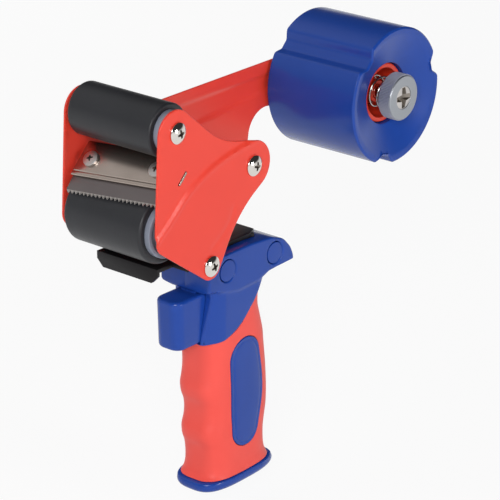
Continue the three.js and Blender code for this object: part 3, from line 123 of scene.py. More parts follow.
def fillet(corners: Sequence[Sequence[float]], closed: bool = True, step: float = 10.0) -> Loop:
    """Rounds the corners of a line.

    Args:
        corners: x, y and radius of each corner; a missing radius is a sharp corner.
        closed: Whether the last corner joins the first.
        step: Largest turn between two points of an arc, in degrees.

    Returns:
        The points of the rounded line.
    """
    points = [np.array(c[:2], float) for c in corners]
    radii = [float(c[2]) if len(c) > 2 else 0.0 for c in corners]
    made: list[np.ndarray] = []
    last = len(points) - 1
    for i, (p, radius) in enumerate(zip(points, radii)):
        if radius <= 0 or (not closed and i in (0, last)):
            made.append(p)
            continue
        a = points[i - 1] - p
        b = points[(i + 1) % len(points)] - p
        la, lb = np.linalg.norm(a), np.linalg.norm(b)
        a, b = a / la, b / lb
        opening = math.acos(float(np.clip(a @ b, -1.0, 1.0)))
        if opening > math.pi - 1e-3:
            made.append(p)
            continue
        reach = min(radius / math.tan(opening / 2), 0.49 * la, 0.49 * lb)
        radius = reach * math.tan(opening / 2)
        middle = (a + b) / np.linalg.norm(a + b)
        centre = p + middle * radius / math.sin(opening / 2)
        start, end = p + a * reach - centre, p + b * reach - centre
        turn = math.pi - opening
        count = max(2, math.ceil(math.degrees(turn) / step))
        for k in range(count + 1):
            t = k / count
            s = (math.sin((1 - t) * turn) * start + math.sin(t * turn) * end) / math.sin(turn)
            made.append(centre + s)
    return np.array(made)


def round_angles(count: int) -> np.ndarray:
    """Angles spaced evenly round a circle."""
    return np.arange(count) * 2 * math.pi / count


def circle(x: float, y: float, radius: float | np.ndarray, sides: int = 48) -> Loop:
    """A closed circle; with an array, a closed line whose radius changes from point to point."""
    angle = round_angles(sides)
    return np.stack([x + radius * np.cos(angle), y + radius * np.sin(angle)], 1)


def belt(discs: Sequence[Disc], step: float = 3.0) -> Loop:
    """Outline of a belt laid round discs in turn.

    Args:
        discs: The discs, counter-clockwise; a disc with a negative radius bends the belt inwards.
        step: Largest turn between two points, in degrees.

    Returns:
        The belt's points, counter-clockwise.
    """

    def heading(start: Disc, end: Disc) -> float:
        dx, dz = end[0] - start[0], end[1] - start[1]
        return math.atan2(dz, dx) - math.asin((end[2] - start[2]) / math.hypot(dx, dz))

    made = []
    for i, disc in enumerate(discs):
        side = math.copysign(1.0, disc[2])
        first = heading(discs[i - 1], disc) - side * math.pi / 2
        final = heading(disc, discs[(i + 1) % len(discs)]) - side * math.pi / 2
        turn = (side * (final - first)) % (2 * math.pi)
        count = max(2, math.ceil(math.degrees(turn) / step))
        for k in range(count + 1):
            angle = first + side * turn * k / count
            radius = abs(disc[2])
            made.append((disc[0] + radius * math.cos(angle), disc[1] + radius * math.sin(angle)))
    return np.array(made)


def curve_through(points: Sequence[Sequence[float]], per_span: int = 12) -> Loop:
    """An open smooth curve through points."""
    p = np.array(points, float)
    p = np.vstack([2 * p[0] - p[1], p, 2 * p[-1] - p[-2]])
    t = np.arange(per_span)[:, None] / per_span
    made = []
    for a, b, c, d in zip(p, p[1:], p[2:], p[3:]):
        square, cube = 2 * a - 5 * b + 4 * c - d, 3 * b - a - 3 * c + d
        made.append(0.5 * (2 * b + (c - a) * t + square * t**2 + cube * t**3))
    return np.vstack([*made, p[-2][None]])


def table_of(points: Sequence[Sequence[float]]) -> Callable[[np.ndarray], np.ndarray]:
    """A smooth function given by its values at a few places, which rise in the first column."""
    line = curve_through(points)
    order = np.argsort(line[:, 0], kind="stable")
    line = line[order]
    return lambda x: np.interp(x, line[:, 0], line[:, 1])


def spaced(loop: Loop, spacing: float) -> Loop:
    """Adds points to a closed line so that none are further apart than the spacing."""
    made = []
    for a, b in zip(loop, np.roll(loop, -1, 0)):
        length = np.linalg.norm(b - a)
        if length < 1e-6:
            continue
        count = max(1, math.ceil(length / spacing))
        made.extend(a + (b - a) * k / count for k in range(count))
    return np.array(made)


def inset(loop: Loop, by: float) -> Loop:
    """Moves a closed counter-clockwise line inwards."""
    along = np.roll(loop, -1, 0) - loop
    along /= np.maximum(np.linalg.norm(along, axis=1, keepdims=True), 1e-9)
    before = np.roll(along, 1, 0)
    inward = np.stack([-along[:, 1], along[:, 0]], 1) + np.stack([-before[:, 1], before[:, 0]], 1)
    size = np.maximum((inward**2).sum(1, keepdims=True), 1.2)
    return loop + by * 2 * inward / size


def within(points: Loop, loop: Loop) -> np.ndarray:
    """Which points lie inside a closed line."""
    x, y = points[:, 0, None], points[:, 1, None]
    x0, y0 = loop[:, 0], loop[:, 1]
    x1, y1 = np.roll(x0, -1), np.roll(y0, -1)
    crosses = (y0 > y) != (y1 > y)
    rise = np.where(y1 == y0, 1e-12, y1 - y0)
    return (crosses & (x < x0 + (y - y0) * (x1 - x0) / rise)).sum(1) % 2 == 1


def distance(points: Loop, line: Loop, closed: bool = False) -> np.ndarray:
    """Distance of each point from a line."""
    a = line if closed else line[:-1]
    b = np.roll(line, -1, 0) if closed else line[1:]
    span = b - a
    length = np.maximum((span**2).sum(1), 1e-12)
    t = np.clip(((points[:, None] - a) * span).sum(2) / length, 0, 1)
    nearest = a + t[..., None] * span
    return np.sqrt(((points[:, None] - nearest) ** 2).sum(2)).min(1)


# ---- Meshes


class Form:
    """A mesh being made, in millimetres from the top roller's axis."""

    def __init__(self) -> None:
        """Starts with nothing."""
        self.points: list[Cloud] = []
        self.faces: list[tuple[int, ...]] = []
        self.count = 0

    def add(self, points: Cloud) -> np.ndarray:
        """Adds points and returns their numbers."""
        points = np.asarray(points, float).reshape(-1, 3)
        self.points.append(points)
        numbers = np.arange(self.count, self.count + len(points))
        self.count += len(points)
        return numbers

    def skin(self, rings: Sequence[Cloud], round_: bool = True, closed: bool = False) -> list[np.ndarray]:
        """Lays faces between neighbouring rings of points.

        Args:
            rings: Rings with the same number of points.
            round_: Whether each ring closes on itself.
            closed: Whether the last ring joins the first.

        Returns:
            The point numbers of each ring.
        """
        numbers = [self.add(ring) for ring in rings]
        pairs = list(zip(numbers, numbers[1:]))
        if closed:
            pairs.append((numbers[-1], numbers[0]))
        for a, b in pairs:
            a2, b2 = (np.roll(a, -1), np.roll(b, -1)) if round_ else (a[1:], b[1:])
            stop = len(a2)
            self.faces.extend(zip(a[:stop], b[:stop], b2, a2))
        return numbers

    def lid(self, ring: np.ndarray) -> None:
        """Closes a ring of points with one face."""
        self.faces.append(tuple(int(i) for i in ring))

    def include(self, other: Form) -> Form:
        """Adds another form's points and faces to this one."""
        start = self.count
        for points in other.points:
            self.add(points)
        self.faces.extend(tuple(int(i) + start for i in face) for face in other.faces)
        return self

    def moved(self, place: Callable[[Cloud], Cloud]) -> Form:
        """Puts every point through a function and returns this form."""
        self.points = [place(points) for points in self.points]
        return self

    def mesh(self, name: str) -> bpy.types.Mesh:
        """A Blender mesh with its doubles merged and its faces pointing out."""
        data = bpy.data.meshes.new(name)
        points = to_metres(np.vstack(self.points))
        data.from_pydata(points.tolist(), [], [tuple(int(i) for i in f) for f in self.faces])
        tidy_mesh(data)
        return data


def shade(data: bpy.types.Mesh) -> None:
    """Smooths all but the sharp edges."""
    data.shade_smooth()
    data.set_sharp_from_angle(angle=SHARP_EDGE)


def tidy_mesh(data: bpy.types.Mesh) -> None:
    """Merges doubles, drops faces without area, turns faces outwards and smooths all but sharp edges."""
    work = bmesh.new()
    work.from_mesh(data)
    bmesh.ops.remove_doubles(work, verts=work.verts, dist=MERGE)
    bmesh.ops.dissolve_degenerate(work, edges=work.edges, dist=MERGE)
    bmesh.ops.recalc_face_normals(work, faces=work.faces)
    work.to_mesh(data)
    work.free()
    shade(data)


def lifted(flat: Loop, y: float | np.ndarray) -> Cloud:
    """Points in space from points in X and Z and their Y."""
    return np.stack([flat[:, 0], np.broadcast_to(y, len(flat)), flat[:, 1]], 1)


def solid(rings: Sequence[Cloud]) -> Form:
    """A form skinned over rings, with a lid on the first and the last."""
    form = Form()
    numbers = form.skin(rings)
    form.lid(numbers[0])
    form.lid(numbers[-1])
    return form


def ring_form(rings: Sequence[Cloud]) -> Form:
    """A form skinned over rings whose last joins the first."""
    form = Form()
    form.skin(rings, closed=True)
    return form


def rod_section(radius: float, y0: float, y1: float, edge: float) -> Loop:
    """Section of a round rod, from its axis at one end to its axis at the other."""
    return fillet([(0, y0), (radius, y0, edge), (radius, y1, edge), (0, y1)], closed=False)


def turned(section: Loop, at: Sequence[float] = (0.0, 0.0), sides: int = 64, closed: bool = True) -> Form:
    """A turned form about an axis along Y.

    Args:
        section: Radius and Y of each point of the section.
        at: X and Z of the axis.
        sides: Number of sides.
        closed: Whether the section is a closed loop, as a ring's is.

    Returns:
        The form.
    """
    form = Form()
    form.skin([lifted(circle(*at, r, sides), y) for r, y in section], closed=closed)
    return form


def rounded_profile(depth: float, edge: float, steps: int) -> list[Pair]:
    """Inset and depth of the rings down the side of a slab with rounded edges."""
    if edge <= 0:
        return [(0.0, 0.0), (0.0, depth)]
    angle = np.linspace(0, math.pi / 2, steps + 1)
    front = [(edge * (1 - math.sin(a)), edge * (1 - math.cos(a))) for a in angle]
    return front + [(d, depth - t) for d, t in reversed(front)]


def slab(outline: Loop, y0: float, y1: float, edge: float) -> Form:
    """A flat form with rounded edges: an outline in X and Z between two Y values."""
    profile = rounded_profile(y1 - y0, edge, 3)
    return solid([lifted(inset(outline, by), y0 + depth) for by, depth in profile])


def level(y: float) -> Callable[[Loop], np.ndarray]:
    """A flat face of a sheet at a distance from the middle plane."""
    return lambda flat: np.full(len(flat), y)


def box_outline(x0: float, x1: float, z0: float, z1: float) -> Loop:
    """A rectangle, counter-clockwise."""
    return np.array([(x0, z0), (x1, z0), (x1, z1), (x0, z1)], float)


def rounded_box(x: Pair, y: Pair, radii: Pair, step: float = 10.0) -> Loop:
    """A rectangle with rounded corners, counter-clockwise; also the section of a plain sleeve.

    Args:
        x: Its two ends in the first direction.
        y: Its two ends in the second.
        radii: Radius of the two corners at the first end and of those at the other.
        step: Largest turn between two points of a corner, in degrees.

    Returns:
        The points.
    """
    (x0, x1), (y0, y1), (r0, r1) = x, y, radii
    return fillet([(x0, y0, r0), (x1, y0, r1), (x1, y1, r1), (x0, y1, r0)], step=step)


@dataclass
class Sheet:
    """A form with one relief face and one plain face, such as a pressed plate or half a shell.

    Attributes:
        outline: Outline in X and Z, counter-clockwise.
        outer: Y distance of the outer face from the middle plane, as a function of points in X and Z.
        inner: The same for the inner face.
        side: +1 for the far side of the middle plane, -1 for the near side.
        holes: Holes through both faces, counter-clockwise.
        edge: Radius of the edge of the outer face.
        inner_edge: Radius of the edge of the inner face.
        spacing: Distance between the points of the faces.
    """

    outline: Loop
    outer: Callable[[Loop], np.ndarray]
    inner: Callable[[Loop], np.ndarray]
    side: int
    holes: list[Loop] = field(default_factory=list)
    edge: float = 0.4
    inner_edge: float = 0.2
    spacing: float = 1.2

    def form(self) -> Form:
        """Builds the sheet."""
        form = Form()
        loops = [(spaced(self.outline, self.spacing), 1.0)]
        loops += [(spaced(hole, self.spacing), -1.0) for hole in self.holes]
        outer_rims, inner_rims = [], []
        for loop, way in loops:
            rings = self.wall(loop, way)
            numbers = form.skin([lifted(flat, self.side * y) for flat, y in rings])
            outer_rims.append((rings[0][0], numbers[0]))
            inner_rims.append((rings[-1][0], numbers[-1]))
        self.face(form, outer_rims, self.outer)
        self.face(form, inner_rims, self.inner)
        return form

    def wall(self, loop: Loop, way: float) -> list[tuple[Loop, np.ndarray]]:
        """Rings from the outer face round the edge to the inner face."""
        rings = []
        for height, edge, sign, angles in (
            (self.outer, self.edge, -1, np.linspace(0, math.pi / 2, 5)),
            (self.inner, self.inner_edge, 1, np.linspace(math.pi / 2, 0, 4)),
        ):
            for angle in angles:
                flat = inset(loop, way * edge * (1 - math.sin(angle)))
                rings.append((flat, height(flat) + sign * edge * (1 - math.cos(angle))))
        return rings

    def face(self, form: Form, rims: list[tuple[Loop, np.ndarray]], height: Callable) -> None:
        """Fills one face between its rims with evenly spaced points.

        Args:
            form: The form that gets the face.
            rims: The face's rims, the outline first, each with its point numbers.
            height: Distance from the middle plane of points in X and Z.
        """
        outline = rims[0][0]
        low, high = outline.min(0), outline.max(0)
        step = self.spacing
        xs, zs = np.arange(low[0], high[0], step), np.arange(low[1], high[1], step * 0.87)
        grid = np.array([(x + (k % 2) * step / 2, z) for k, z in enumerate(zs) for x in xs])
        keep = within(grid, outline)
        for k, (loop, _) in enumerate(rims):
            if k:
                keep &= ~within(grid, loop)
            keep &= distance(grid, loop, closed=True) > 0.55 * step
        grid = grid[keep]
        flats = [loop for loop, _ in rims]
        inner = form.add(lifted(grid, self.side * height(grid)))
        numbers = np.concatenate([*(n for _, n in rims), inner])
        flat = np.vstack([*flats, grid])
        edges, start = [], 0
        for loop in flats:
            size = len(loop)
            edges += [(start + i, start + (i + 1) % size) for i in range(size)]
            start += size
        made = delaunay_2d_cdt([Vector(p) for p in flat], edges, [], 0, 1e-7, True)
        spots = np.array([tuple(c) for c in made[0]])
        rims_made = {frozenset(line) for line, source in zip(made[1], made[4]) if source}
        origin = made[3]
        for patch in patches(made[2], rims_made):
            corners = spots[np.array(patch)]
            span = corners[:, 1:] - corners[:, :1]
            area = np.abs(span[:, 0, 0] * span[:, 1, 1] - span[:, 0, 1] * span[:, 1, 0])
            middle = corners[area.argmax()].mean(0)[None]
            if area.max() < SLIVER or not within(middle, outline)[0]:
                continue
            if any(within(middle, loop)[0] for loop in flats[1:]):
                continue
            for triangle in patch:
                sources = [origin[i] for i in triangle]
                if all(sources):
                    form.faces.append(tuple(int(numbers[source[0]]) for source in sources))


def patches(triangles: Sequence[Sequence[int]], rims: set[frozenset[int]]) -> list[list[Sequence[int]]]:
    """Groups triangles that join without crossing a rim.

    Args:
        triangles: Corner numbers of each triangle.
        rims: Edges that end a group.

    Returns:
        The triangles of each group.
    """
    touching: dict[frozenset[int], list[int]] = {}
    for number, corners in enumerate(triangles):
        for k in range(3):
            touching.setdefault(frozenset((corners[k], corners[k - 1])), []).append(number)
    groups, seen = [], set()
    for first in range(len(triangles)):
        if first in seen:
            continue
        seen.add(first)
        group, waiting = [], [first]
        while waiting:
            number = waiting.pop()
            corners = triangles[number]
            group.append(corners)
            for k in range(3):
                edge = frozenset((corners[k], corners[k - 1]))
                if edge not in rims:
                    new = [n for n in touching[edge] if n not in seen]
                    seen.update(new)
                    waiting.extend(new)
        groups.append(group)
    return groups


# ---- Nodes


def linear(code: str) -> tuple[float, float, float, float]:
    """The linear colour of an sRGB hex code."""
    values = [int(code[i : i + 2], 16) / 255 for i in (1, 3, 5)]
    red, green, blue = (v / 12.92 if v <= 0.04045 else ((v + 0.055) / 1.055) ** 2.4 for v in values)
    return red, green, blue, 1.0


def add_node(
    tree: bpy.types.NodeTree, kind: str, inputs: Mapping[str | int, object] | None = None, **settings: object
) -> bpy.types.Node:
    """Adds a node to a tree.

    Args:
        tree: The tree.
        kind: The node's Blender type.
        inputs: Values by socket name or number; a socket or a node as a value is linked.
        **settings: The node's own properties.

    Returns:
        The node.
    """
    made = tree.nodes.new(kind)
    for key, value in settings.items():
        setattr(made, key, value)
    for key, value in (inputs or {}).items():
        socket = made.inputs[key]
        if isinstance(value, bpy.types.Node):
            value = value.outputs[0]
        if isinstance(value, bpy.types.NodeSocket):
            tree.links.new(value, socket)
        else:
            socket.default_value = value
    return made


def ranged(
    tree: bpy.types.NodeTree,
    value: object,
    ends: Pair,
    to: Pair,
    **settings: object,
) -> bpy.types.Node:
    """Adds a node that maps one range of a value to another.

    Args:
        tree: The tree.
        value: The socket or node that gives the value.
        ends: The range that it comes in.
        to: The range that it leaves in.
        **settings: The node's own properties.

    Returns:
        The node.
    """
    inputs = {"Value": value, "From Min": ends[0], "From Max": ends[1], "To Min": to[0], "To Max": to[1]}
    return add_node(tree, "ShaderNodeMapRange", inputs, **settings)


def new_tree(owner: bpy.types.Material | bpy.types.World) -> bpy.types.NodeTree:
    """The emptied node tree of a new material or world."""
    owner.use_nodes = True
    owner.node_tree.nodes.clear()
    return owner.node_tree


# ---- Finishes


NOISE_SPAN = (0.3, 0.7)  # where nearly all values of a noise lie
SPECKLE = 0.02  # how far the fine relief shifts the colour
ROUGH_SPREAD = 0.06  # how far it shifts the roughness
CLOUD_SCALE = 28.0  # slow variation of the colour, in clouds per metre


class Grain(Enum):
    """How a surface was made, which gives its fine relief."""

    MOULDED = "moulded"  # the faint cloud of a polished mould
    SPRAYED = "sprayed"  # orange peel of baked powder
    SOFT = "soft"  # the dull, even skin of soft plastic
    GROUND = "ground"  # fine rings that a grinding wheel leaves round a roller
    DRAWN = "drawn"  # long lines along rolled sheet
    PLATED = "plated"  # bright plating with hardly any relief


@dataclass(frozen=True)
class Finish:
    """A surface and how it is drawn.

    Attributes:
        name: The maker's name for it.
        colour: Main colour.
        shade: Colour of its slow variation.
        grain: How the surface was made.
        grain_mm: Size of the fine relief.
        relief_mm: Depth of the fine relief.
        roughness: Mean roughness.
        metallic: 1 for bare metal.
        variation: How far the shade is mixed in.
        specular: Strength of the gloss of a plastic or paint.
    """

    name: str
    colour: str
    shade: str
    grain: Grain
    grain_mm: float
    relief_mm: float
    roughness: float
    metallic: float = 0.0
    variation: float = 0.5
    specular: float = 0.5

    def stretch(self) -> Triple:
        """How the fine relief is stretched along X, Y and Z."""
        if self.grain is Grain.GROUND:
            return 0.03, 1.0, 0.03
        if self.grain is Grain.DRAWN:
            return 1.0, 0.02, 1.0
        return 1.0, 1.0, 1.0

    def material(self) -> bpy.types.Material:
        """The node material, made once."""
        known = bpy.data.materials.get(self.name)
        if known:
            return known
        made = bpy.data.materials.new(self.name)
        tree = new_tree(made)
        place = add_node(tree, "ShaderNodeTexCoord").outputs["Object"]
        scaled = add_node(tree, "ShaderNodeMapping", {"Vector": place, "Scale": self.stretch()})
        grains = {"Vector": scaled, "Scale": 1 / (self.grain_mm * MM), "Detail": 3.0}
        clouds = {"Vector": place, "Scale": CLOUD_SCALE, "Detail": 3.0, "Roughness": 0.55}
        fine = add_node(tree, "ShaderNodeTexNoise", grains)
        slow = add_node(tree, "ShaderNodeTexNoise", clouds)
        cloud = ranged(tree, slow, (0.35, 0.7), (0.0, self.variation))
        speckle = ranged(tree, fine, NOISE_SPAN, (-SPECKLE, SPECKLE))
        share = add_node(tree, "ShaderNodeMath", {0: cloud, 1: speckle}, operation="ADD", use_clamp=True)
        colours = {"Factor": share, "A": linear(self.colour), "B": linear(self.shade)}
        colour = add_node(tree, "ShaderNodeMix", colours, data_type="RGBA")
        dull, gloss = self.roughness * (1 + ROUGH_SPREAD), self.roughness * (1 - ROUGH_SPREAD)
        relief = {"Height": fine, "Distance": self.relief_mm * MM, "Strength": 1.0}
        shader = add_node(
            tree,
            "ShaderNodeBsdfPrincipled",
            {
                "Base Color": colour.outputs["Result"],
                "Roughness": ranged(tree, fine, NOISE_SPAN, (gloss, dull)),
                "Metallic": self.metallic,
                "Normal": add_node(tree, "ShaderNodeBump", relief),
                "Specular IOR Level": self.specular,
            },
        )
        add_node(tree, "ShaderNodeOutputMaterial", {"Surface": shader})
        return made


# Powder coat baked on pressed steel: a bright, even red with the faint ripple of melted powder.
POWDER_COAT = Finish("red_powder_coat", "#EC4333", "#E93F30", Grain.SPRAYED, 1.4, 0.0008, 0.3, specular=0.4)
# Soft thermoplastic rubber moulded over the grip: the same red, paler and dull.
SOFT_TOUCH = Finish("red_soft_touch_rubber", "#F7594F", "#F05248", Grain.SOFT, 0.9, 0.012, 0.46, specular=0.3)
# ABS from a polished mould: deep blue with a soft sheen.
BLUE_ABS = Finish("blue_abs", "#1C459F", "#183F96", Grain.MOULDED, 1.6, 0.0012, 0.24, specular=0.32)
# Synthetic rubber ground to size: nearly black grey, with the wheel's fine rings.
GROUND_RUBBER = Finish(
    "ground_roller_rubber", "#2A2B2F", "#232427", Grain.GROUND, 0.7, 0.02, 0.42, specular=0.35
)
# Nylon of the roller cores: bluish light grey.
GREY_NYLON = Finish("grey_nylon", "#8D93A2", "#7F8594", Grain.MOULDED, 1.2, 0.01, 0.4, specular=0.4)
# Black stoved coat on bent sheet: satin, with a little dust.
BLACK_COAT = Finish("black_stoved_coat", "#121012", "#191719", Grain.SPRAYED, 1.2, 0.004, 0.4, specular=0.2)
# Nickel plate on screws and nuts: a warm mirror.
NICKEL = Finish("bright_nickel_plate", "#DCD8D2", "#CFC9C1", Grain.PLATED, 1.5, 0.002, 0.08, 1.0, 0.3)
# Zinc plate on the small screws and the knob's screw: satin, paler than nickel.
ZINC_PLATE = Finish("satin_zinc_plate", "#CDC9C6", "#BEBAB6", Grain.PLATED, 1.0, 0.001, 0.42, 1.0, 0.3)
# Cross recess of a screw: the same plate, dull and darkened with a painted shade in the recess.
RECESS_SHADE = Finish("punched_recess", "#8C857D", "#6E6760", Grain.SOFT, 0.4, 0.01, 0.4, 1.0, 0.5)
# Spring wire: drawn steel, bright with fine lines.
SPRING_WIRE = Finish("drawn_spring_wire", "#CFCFCC", "#B9B9B6", Grain.PLATED, 0.6, 0.004, 0.2, 1.0, 0.4)
# Stainless sheet of the blade holder: rolled lines run along the bend.
ROLLED_STEEL = Finish(
    "rolled_stainless_sheet", "#B8ABA2", "#968A81", Grain.DRAWN, 0.35, 0.0012, 0.22, 1.0, 0.6
)
# Hardened blade strip: dark, slightly purple oxide.
BLUED_STEEL = Finish("blued_blade_strip", "#77706F", "#676063", Grain.DRAWN, 0.4, 0.004, 0.36, 0.8, 0.5)
# Ground flanks of the teeth: bare bright steel.
GROUND_STEEL = Finish("ground_tooth_steel", "#AEA8A4", "#9A9591", Grain.DRAWN, 0.3, 0.003, 0.34, 0.8, 0.4)
# Knob of die-cast zinc: pale satin grey.
ZINC = Finish("satin_zinc", "#A2A6AC", "#94989E", Grain.SOFT, 0.5, 0.006, 0.34, 0.85, 0.4)
# The knob's knurled side: the same metal, matt and paler where the knurling wheel pressed it.
KNURLED_ZINC = Finish("knurled_zinc", "#B6B7BF", "#A8A9B1", Grain.SOFT, 0.5, 0.006, 0.5, 0.25, 0.4)
# Acetal of the brake cup: orange red.
ORANGE_ACETAL = Finish("orange_acetal", "#E03E26", "#D03520", Grain.MOULDED, 1.2, 0.006, 0.3, specular=0.4)

SLOT_FINISH = {
    "red_paint": POWDER_COAT,
    "red_grip": SOFT_TOUCH,
    "blue_plastic": BLUE_ABS,
    "roller_rubber": GROUND_RUBBER,
    "grey_plastic": GREY_NYLON,
    "black_steel": BLACK_COAT,
    "bright_steel": NICKEL,
    "spring_steel": SPRING_WIRE,
    "brushed_steel": ROLLED_STEEL,
    "blade_steel": BLUED_STEEL,
    "knob_alloy": ZINC,
    "orange_plastic": ORANGE_ACETAL,
}
NODE_SLOT = {entry["node"]: entry["material_slot"] for entry in frame["record"]["subparts"]}
BODIES = frame["record"]["behaviour"]["bodies"]
NODE_BODY = {node: body for body, nodes in BODIES.items() for node in nodes}


# ---- Pieces


def dress(thing: bpy.types.Object, *finishes: Finish) -> None:
    """Gives an object a material slot for each finish, and no other."""
    thing.data.materials.clear()
    for finish in finishes:
        thing.data.materials.append(finish.material())


def new_object(name: str, data: bpy.types.ID) -> bpy.types.Object:
    """Links a new object at the origin."""
    made = bpy.data.objects.new(name, data)
    bpy.context.scene.collection.objects.link(made)
    return made


def baked(thing: bpy.types.Object) -> bpy.types.Object:
    """Turns an object's modifiers into plain mesh and removes them."""
    depsgraph = bpy.context.evaluated_depsgraph_get()
    data = bpy.data.meshes.new_from_object(thing.evaluated_get(depsgraph))
    thing.modifiers.clear()
    thing.data = data
    return thing


def join_into(first: bpy.types.Object, *others: bpy.types.Object) -> None:
    """Adds other objects' meshes, with their materials, to the first and removes them."""
    chosen = [first, *others]
    with bpy.context.temp_override(
        active_object=first, selected_editable_objects=chosen, selected_objects=chosen
    ):
        bpy.ops.object.join()
    shade(first.data)


class Shaping(Enum):
    """What a tool does to a piece."""

    CUT = "DIFFERENCE"
    WELD = "UNION"


def carve(
    thing: bpy.types.Object, *tools: Form, way: Shaping = Shaping.CUT, raw: Finish | None = None
) -> bpy.types.Object:
    """Cuts forms out of an object, or welds them to it.

    Args:
        thing: The object.
        *tools: The forms.
        way: Whether to cut or to weld.
        raw: Finish of the cut faces; without one they take the object's own.

    Returns:
        The object.
    """
    cutters = [formed("cutter", tool, raw) for tool in tools]
    for cutter in cutters:
        cut = thing.modifiers.new("cut", "BOOLEAN")
        cut.object = cutter
        cut.operation = way.value
        cut.solver = "EXACT"
        if raw:
            cut.material_mode = "TRANSFER"
    baked(thing)
    for cutter in cutters:
        bpy.data.objects.remove(cutter)
    tidy_mesh(thing.data)
    return thing


def place_piece(
    thing: bpy.types.Object, nodes: Sequence[str], finish: Finish | None = None, rides: bool = True
) -> bpy.types.Object:
    """Dresses a finished piece and puts it on its body in place of its CAD nodes.

    Args:
        thing: The finished object, at the origin.
        nodes: CAD nodes that it stands for, all on one body.
        finish: Its finish; without one it takes the finish of the first node's slot.
        rides: Whether it moves with its nodes' body, as all but a pressed spring do.

    Returns:
        The object.
    """
    slot = NODE_SLOT[nodes[0]]
    if finish or not thing.data.materials:
        dress(thing, finish or SLOT_FINISH[slot])
    if rides:
        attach(thing, NODE_BODY[nodes[0]])
    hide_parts(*nodes)
    log.info("%s: %d faces for %s", thing.name, len(thing.data.polygons), ", ".join(nodes))
    return thing


def formed(name: str, form: Form, finish: Finish | None = None) -> bpy.types.Object:
    """A new object of a form, dressed in a finish when one is given."""
    made = new_object(name, form.mesh(name))
    if finish:
        dress(made, finish)
    return made


def piece(name: str, form: Form, nodes: Sequence[str]) -> bpy.types.Object:
    """Makes a piece of a form and puts it in place of its CAD nodes."""
    return place_piece(formed(name, form), nodes)


def refined(name: str, node: str, bevel: float = 0.3) -> bpy.types.Object:
    """Makes a piece of a CAD node's own shape, with its points merged and its edges rounded.

    Args:
        name: The piece's name.
        node: The CAD node.
        bevel: Width of the rounding.

    Returns:
        The piece.
    """
    data = frame["nodes"][node].data.copy()
    data.materials.clear()
    work = bmesh.new()
    work.from_mesh(data)
    bmesh.ops.remove_doubles(work, verts=work.verts, dist=1e-6)
    bmesh.ops.dissolve_limit(work, angle_limit=FLAT_EDGE, verts=work.verts, edges=work.edges)
    work.to_mesh(data)
    work.free()
    thing = new_object(name, data)
    rounding = thing.modifiers.new("edges", "BEVEL")
    rounding.width = bevel * MM
    rounding.segments = 2
    rounding.angle_limit = ROUNDED_EDGE
    rounding.use_clamp_overlap = True
    baked(thing)
    shade(thing.data)
    return place_piece(thing, [node])


# ---- Geometry Nodes for what repeats


SOCKETS = {float: "NodeSocketFloat", int: "NodeSocketInt"}


class Repeater:
    """A Geometry Nodes tree with named inputs that ends in Realize Instances and Set Material."""

    def __init__(self, name: str, sizes: Mapping[str, float | int]) -> None:
        """Makes the tree and its inputs.

        Args:
            name: The tree's name.
            sizes: Name and starting value of each numeric input.
        """
        self.tree = bpy.data.node_groups.new(name, "GeometryNodeTree")
        self.ids: dict[str, str] = {}
        self.add_input("Geometry", "NodeSocketGeometry")
        self.add_input("Master", "NodeSocketObject")
        self.add_input("Finish", "NodeSocketMaterial")
        for key, value in sizes.items():
            self.add_input(key, SOCKETS[type(value)]).default_value = value
        self.tree.interface.new_socket("Geometry", in_out="OUTPUT", socket_type="NodeSocketGeometry")
        self.inputs = add_node(self.tree, "NodeGroupInput").outputs

    def add_input(self, name: str, kind: str) -> bpy.types.NodeTreeInterfaceSocket:
        """Adds one input and notes its identifier."""
        made = self.tree.interface.new_socket(name, in_out="INPUT", socket_type=kind)
        self.ids[name] = made.identifier
        return made

    def node(
        self, kind: str, inputs: Mapping[str | int, object] | None = None, **settings: object
    ) -> bpy.types.Node:
        """Adds a node to the tree."""
        return add_node(self.tree, kind, inputs, **settings)

    def close(self, geometry: object) -> Repeater:
        """Ends the tree, which realizes the geometry and sets its material, and returns it."""
        real = self.node("GeometryNodeRealizeInstances", {"Geometry": geometry})
        dressed = self.node("GeometryNodeSetMaterial", {"Geometry": real, "Material": self.inputs["Finish"]})
        self.node("NodeGroupOutput", {0: dressed})
        return self

    def close_copies(self, **inputs: object) -> Repeater:
        """Ends the tree with copies on points."""
        return self.close(self.node("GeometryNodeInstanceOnPoints", inputs))

    def run(self, thing: bpy.types.Object, values: Mapping[str, object]) -> bpy.types.Object:
        """Runs the tree on an object and leaves plain mesh.

        Args:
            thing: The object whose mesh goes into the tree.
            values: Value of each input by its name.

        Returns:
            The object, with its modifier removed.
        """
        modifier = thing.modifiers.new(self.tree.name, "NODES")
        modifier.node_group = self.tree
        for name, value in values.items():
            modifier[self.ids[name]] = value
        return baked(thing)


def scatter_tree() -> Repeater:
    """Copies of a master on the input's points, turned by the points' facing attribute."""
    tree = Repeater("screws_on_points", {})
    master = tree.node("GeometryNodeObjectInfo", {"Object": tree.inputs["Master"], "As Instance": True})
    facing = tree.node("GeometryNodeInputNamedAttribute", {"Name": "facing"}, data_type="FLOAT_VECTOR")
    turn = tree.node("FunctionNodeEulerToRotation", {0: facing.outputs["Attribute"]})
    return tree.close_copies(
        Points=tree.inputs["Geometry"], Instance=master.outputs["Geometry"], Rotation=turn
    )


def row_tree() -> Repeater:
    """Copies of the input mesh in a row along Y."""
    tree = Repeater("tooth_row", {"Count": 20, "Pitch": 0.0025})
    step = tree.node("ShaderNodeCombineXYZ", {"Y": tree.inputs["Pitch"]})
    line = tree.node("GeometryNodeMeshLine", {"Count": tree.inputs["Count"], "Offset": step})
    return tree.close_copies(Points=line, Instance=tree.inputs["Geometry"])


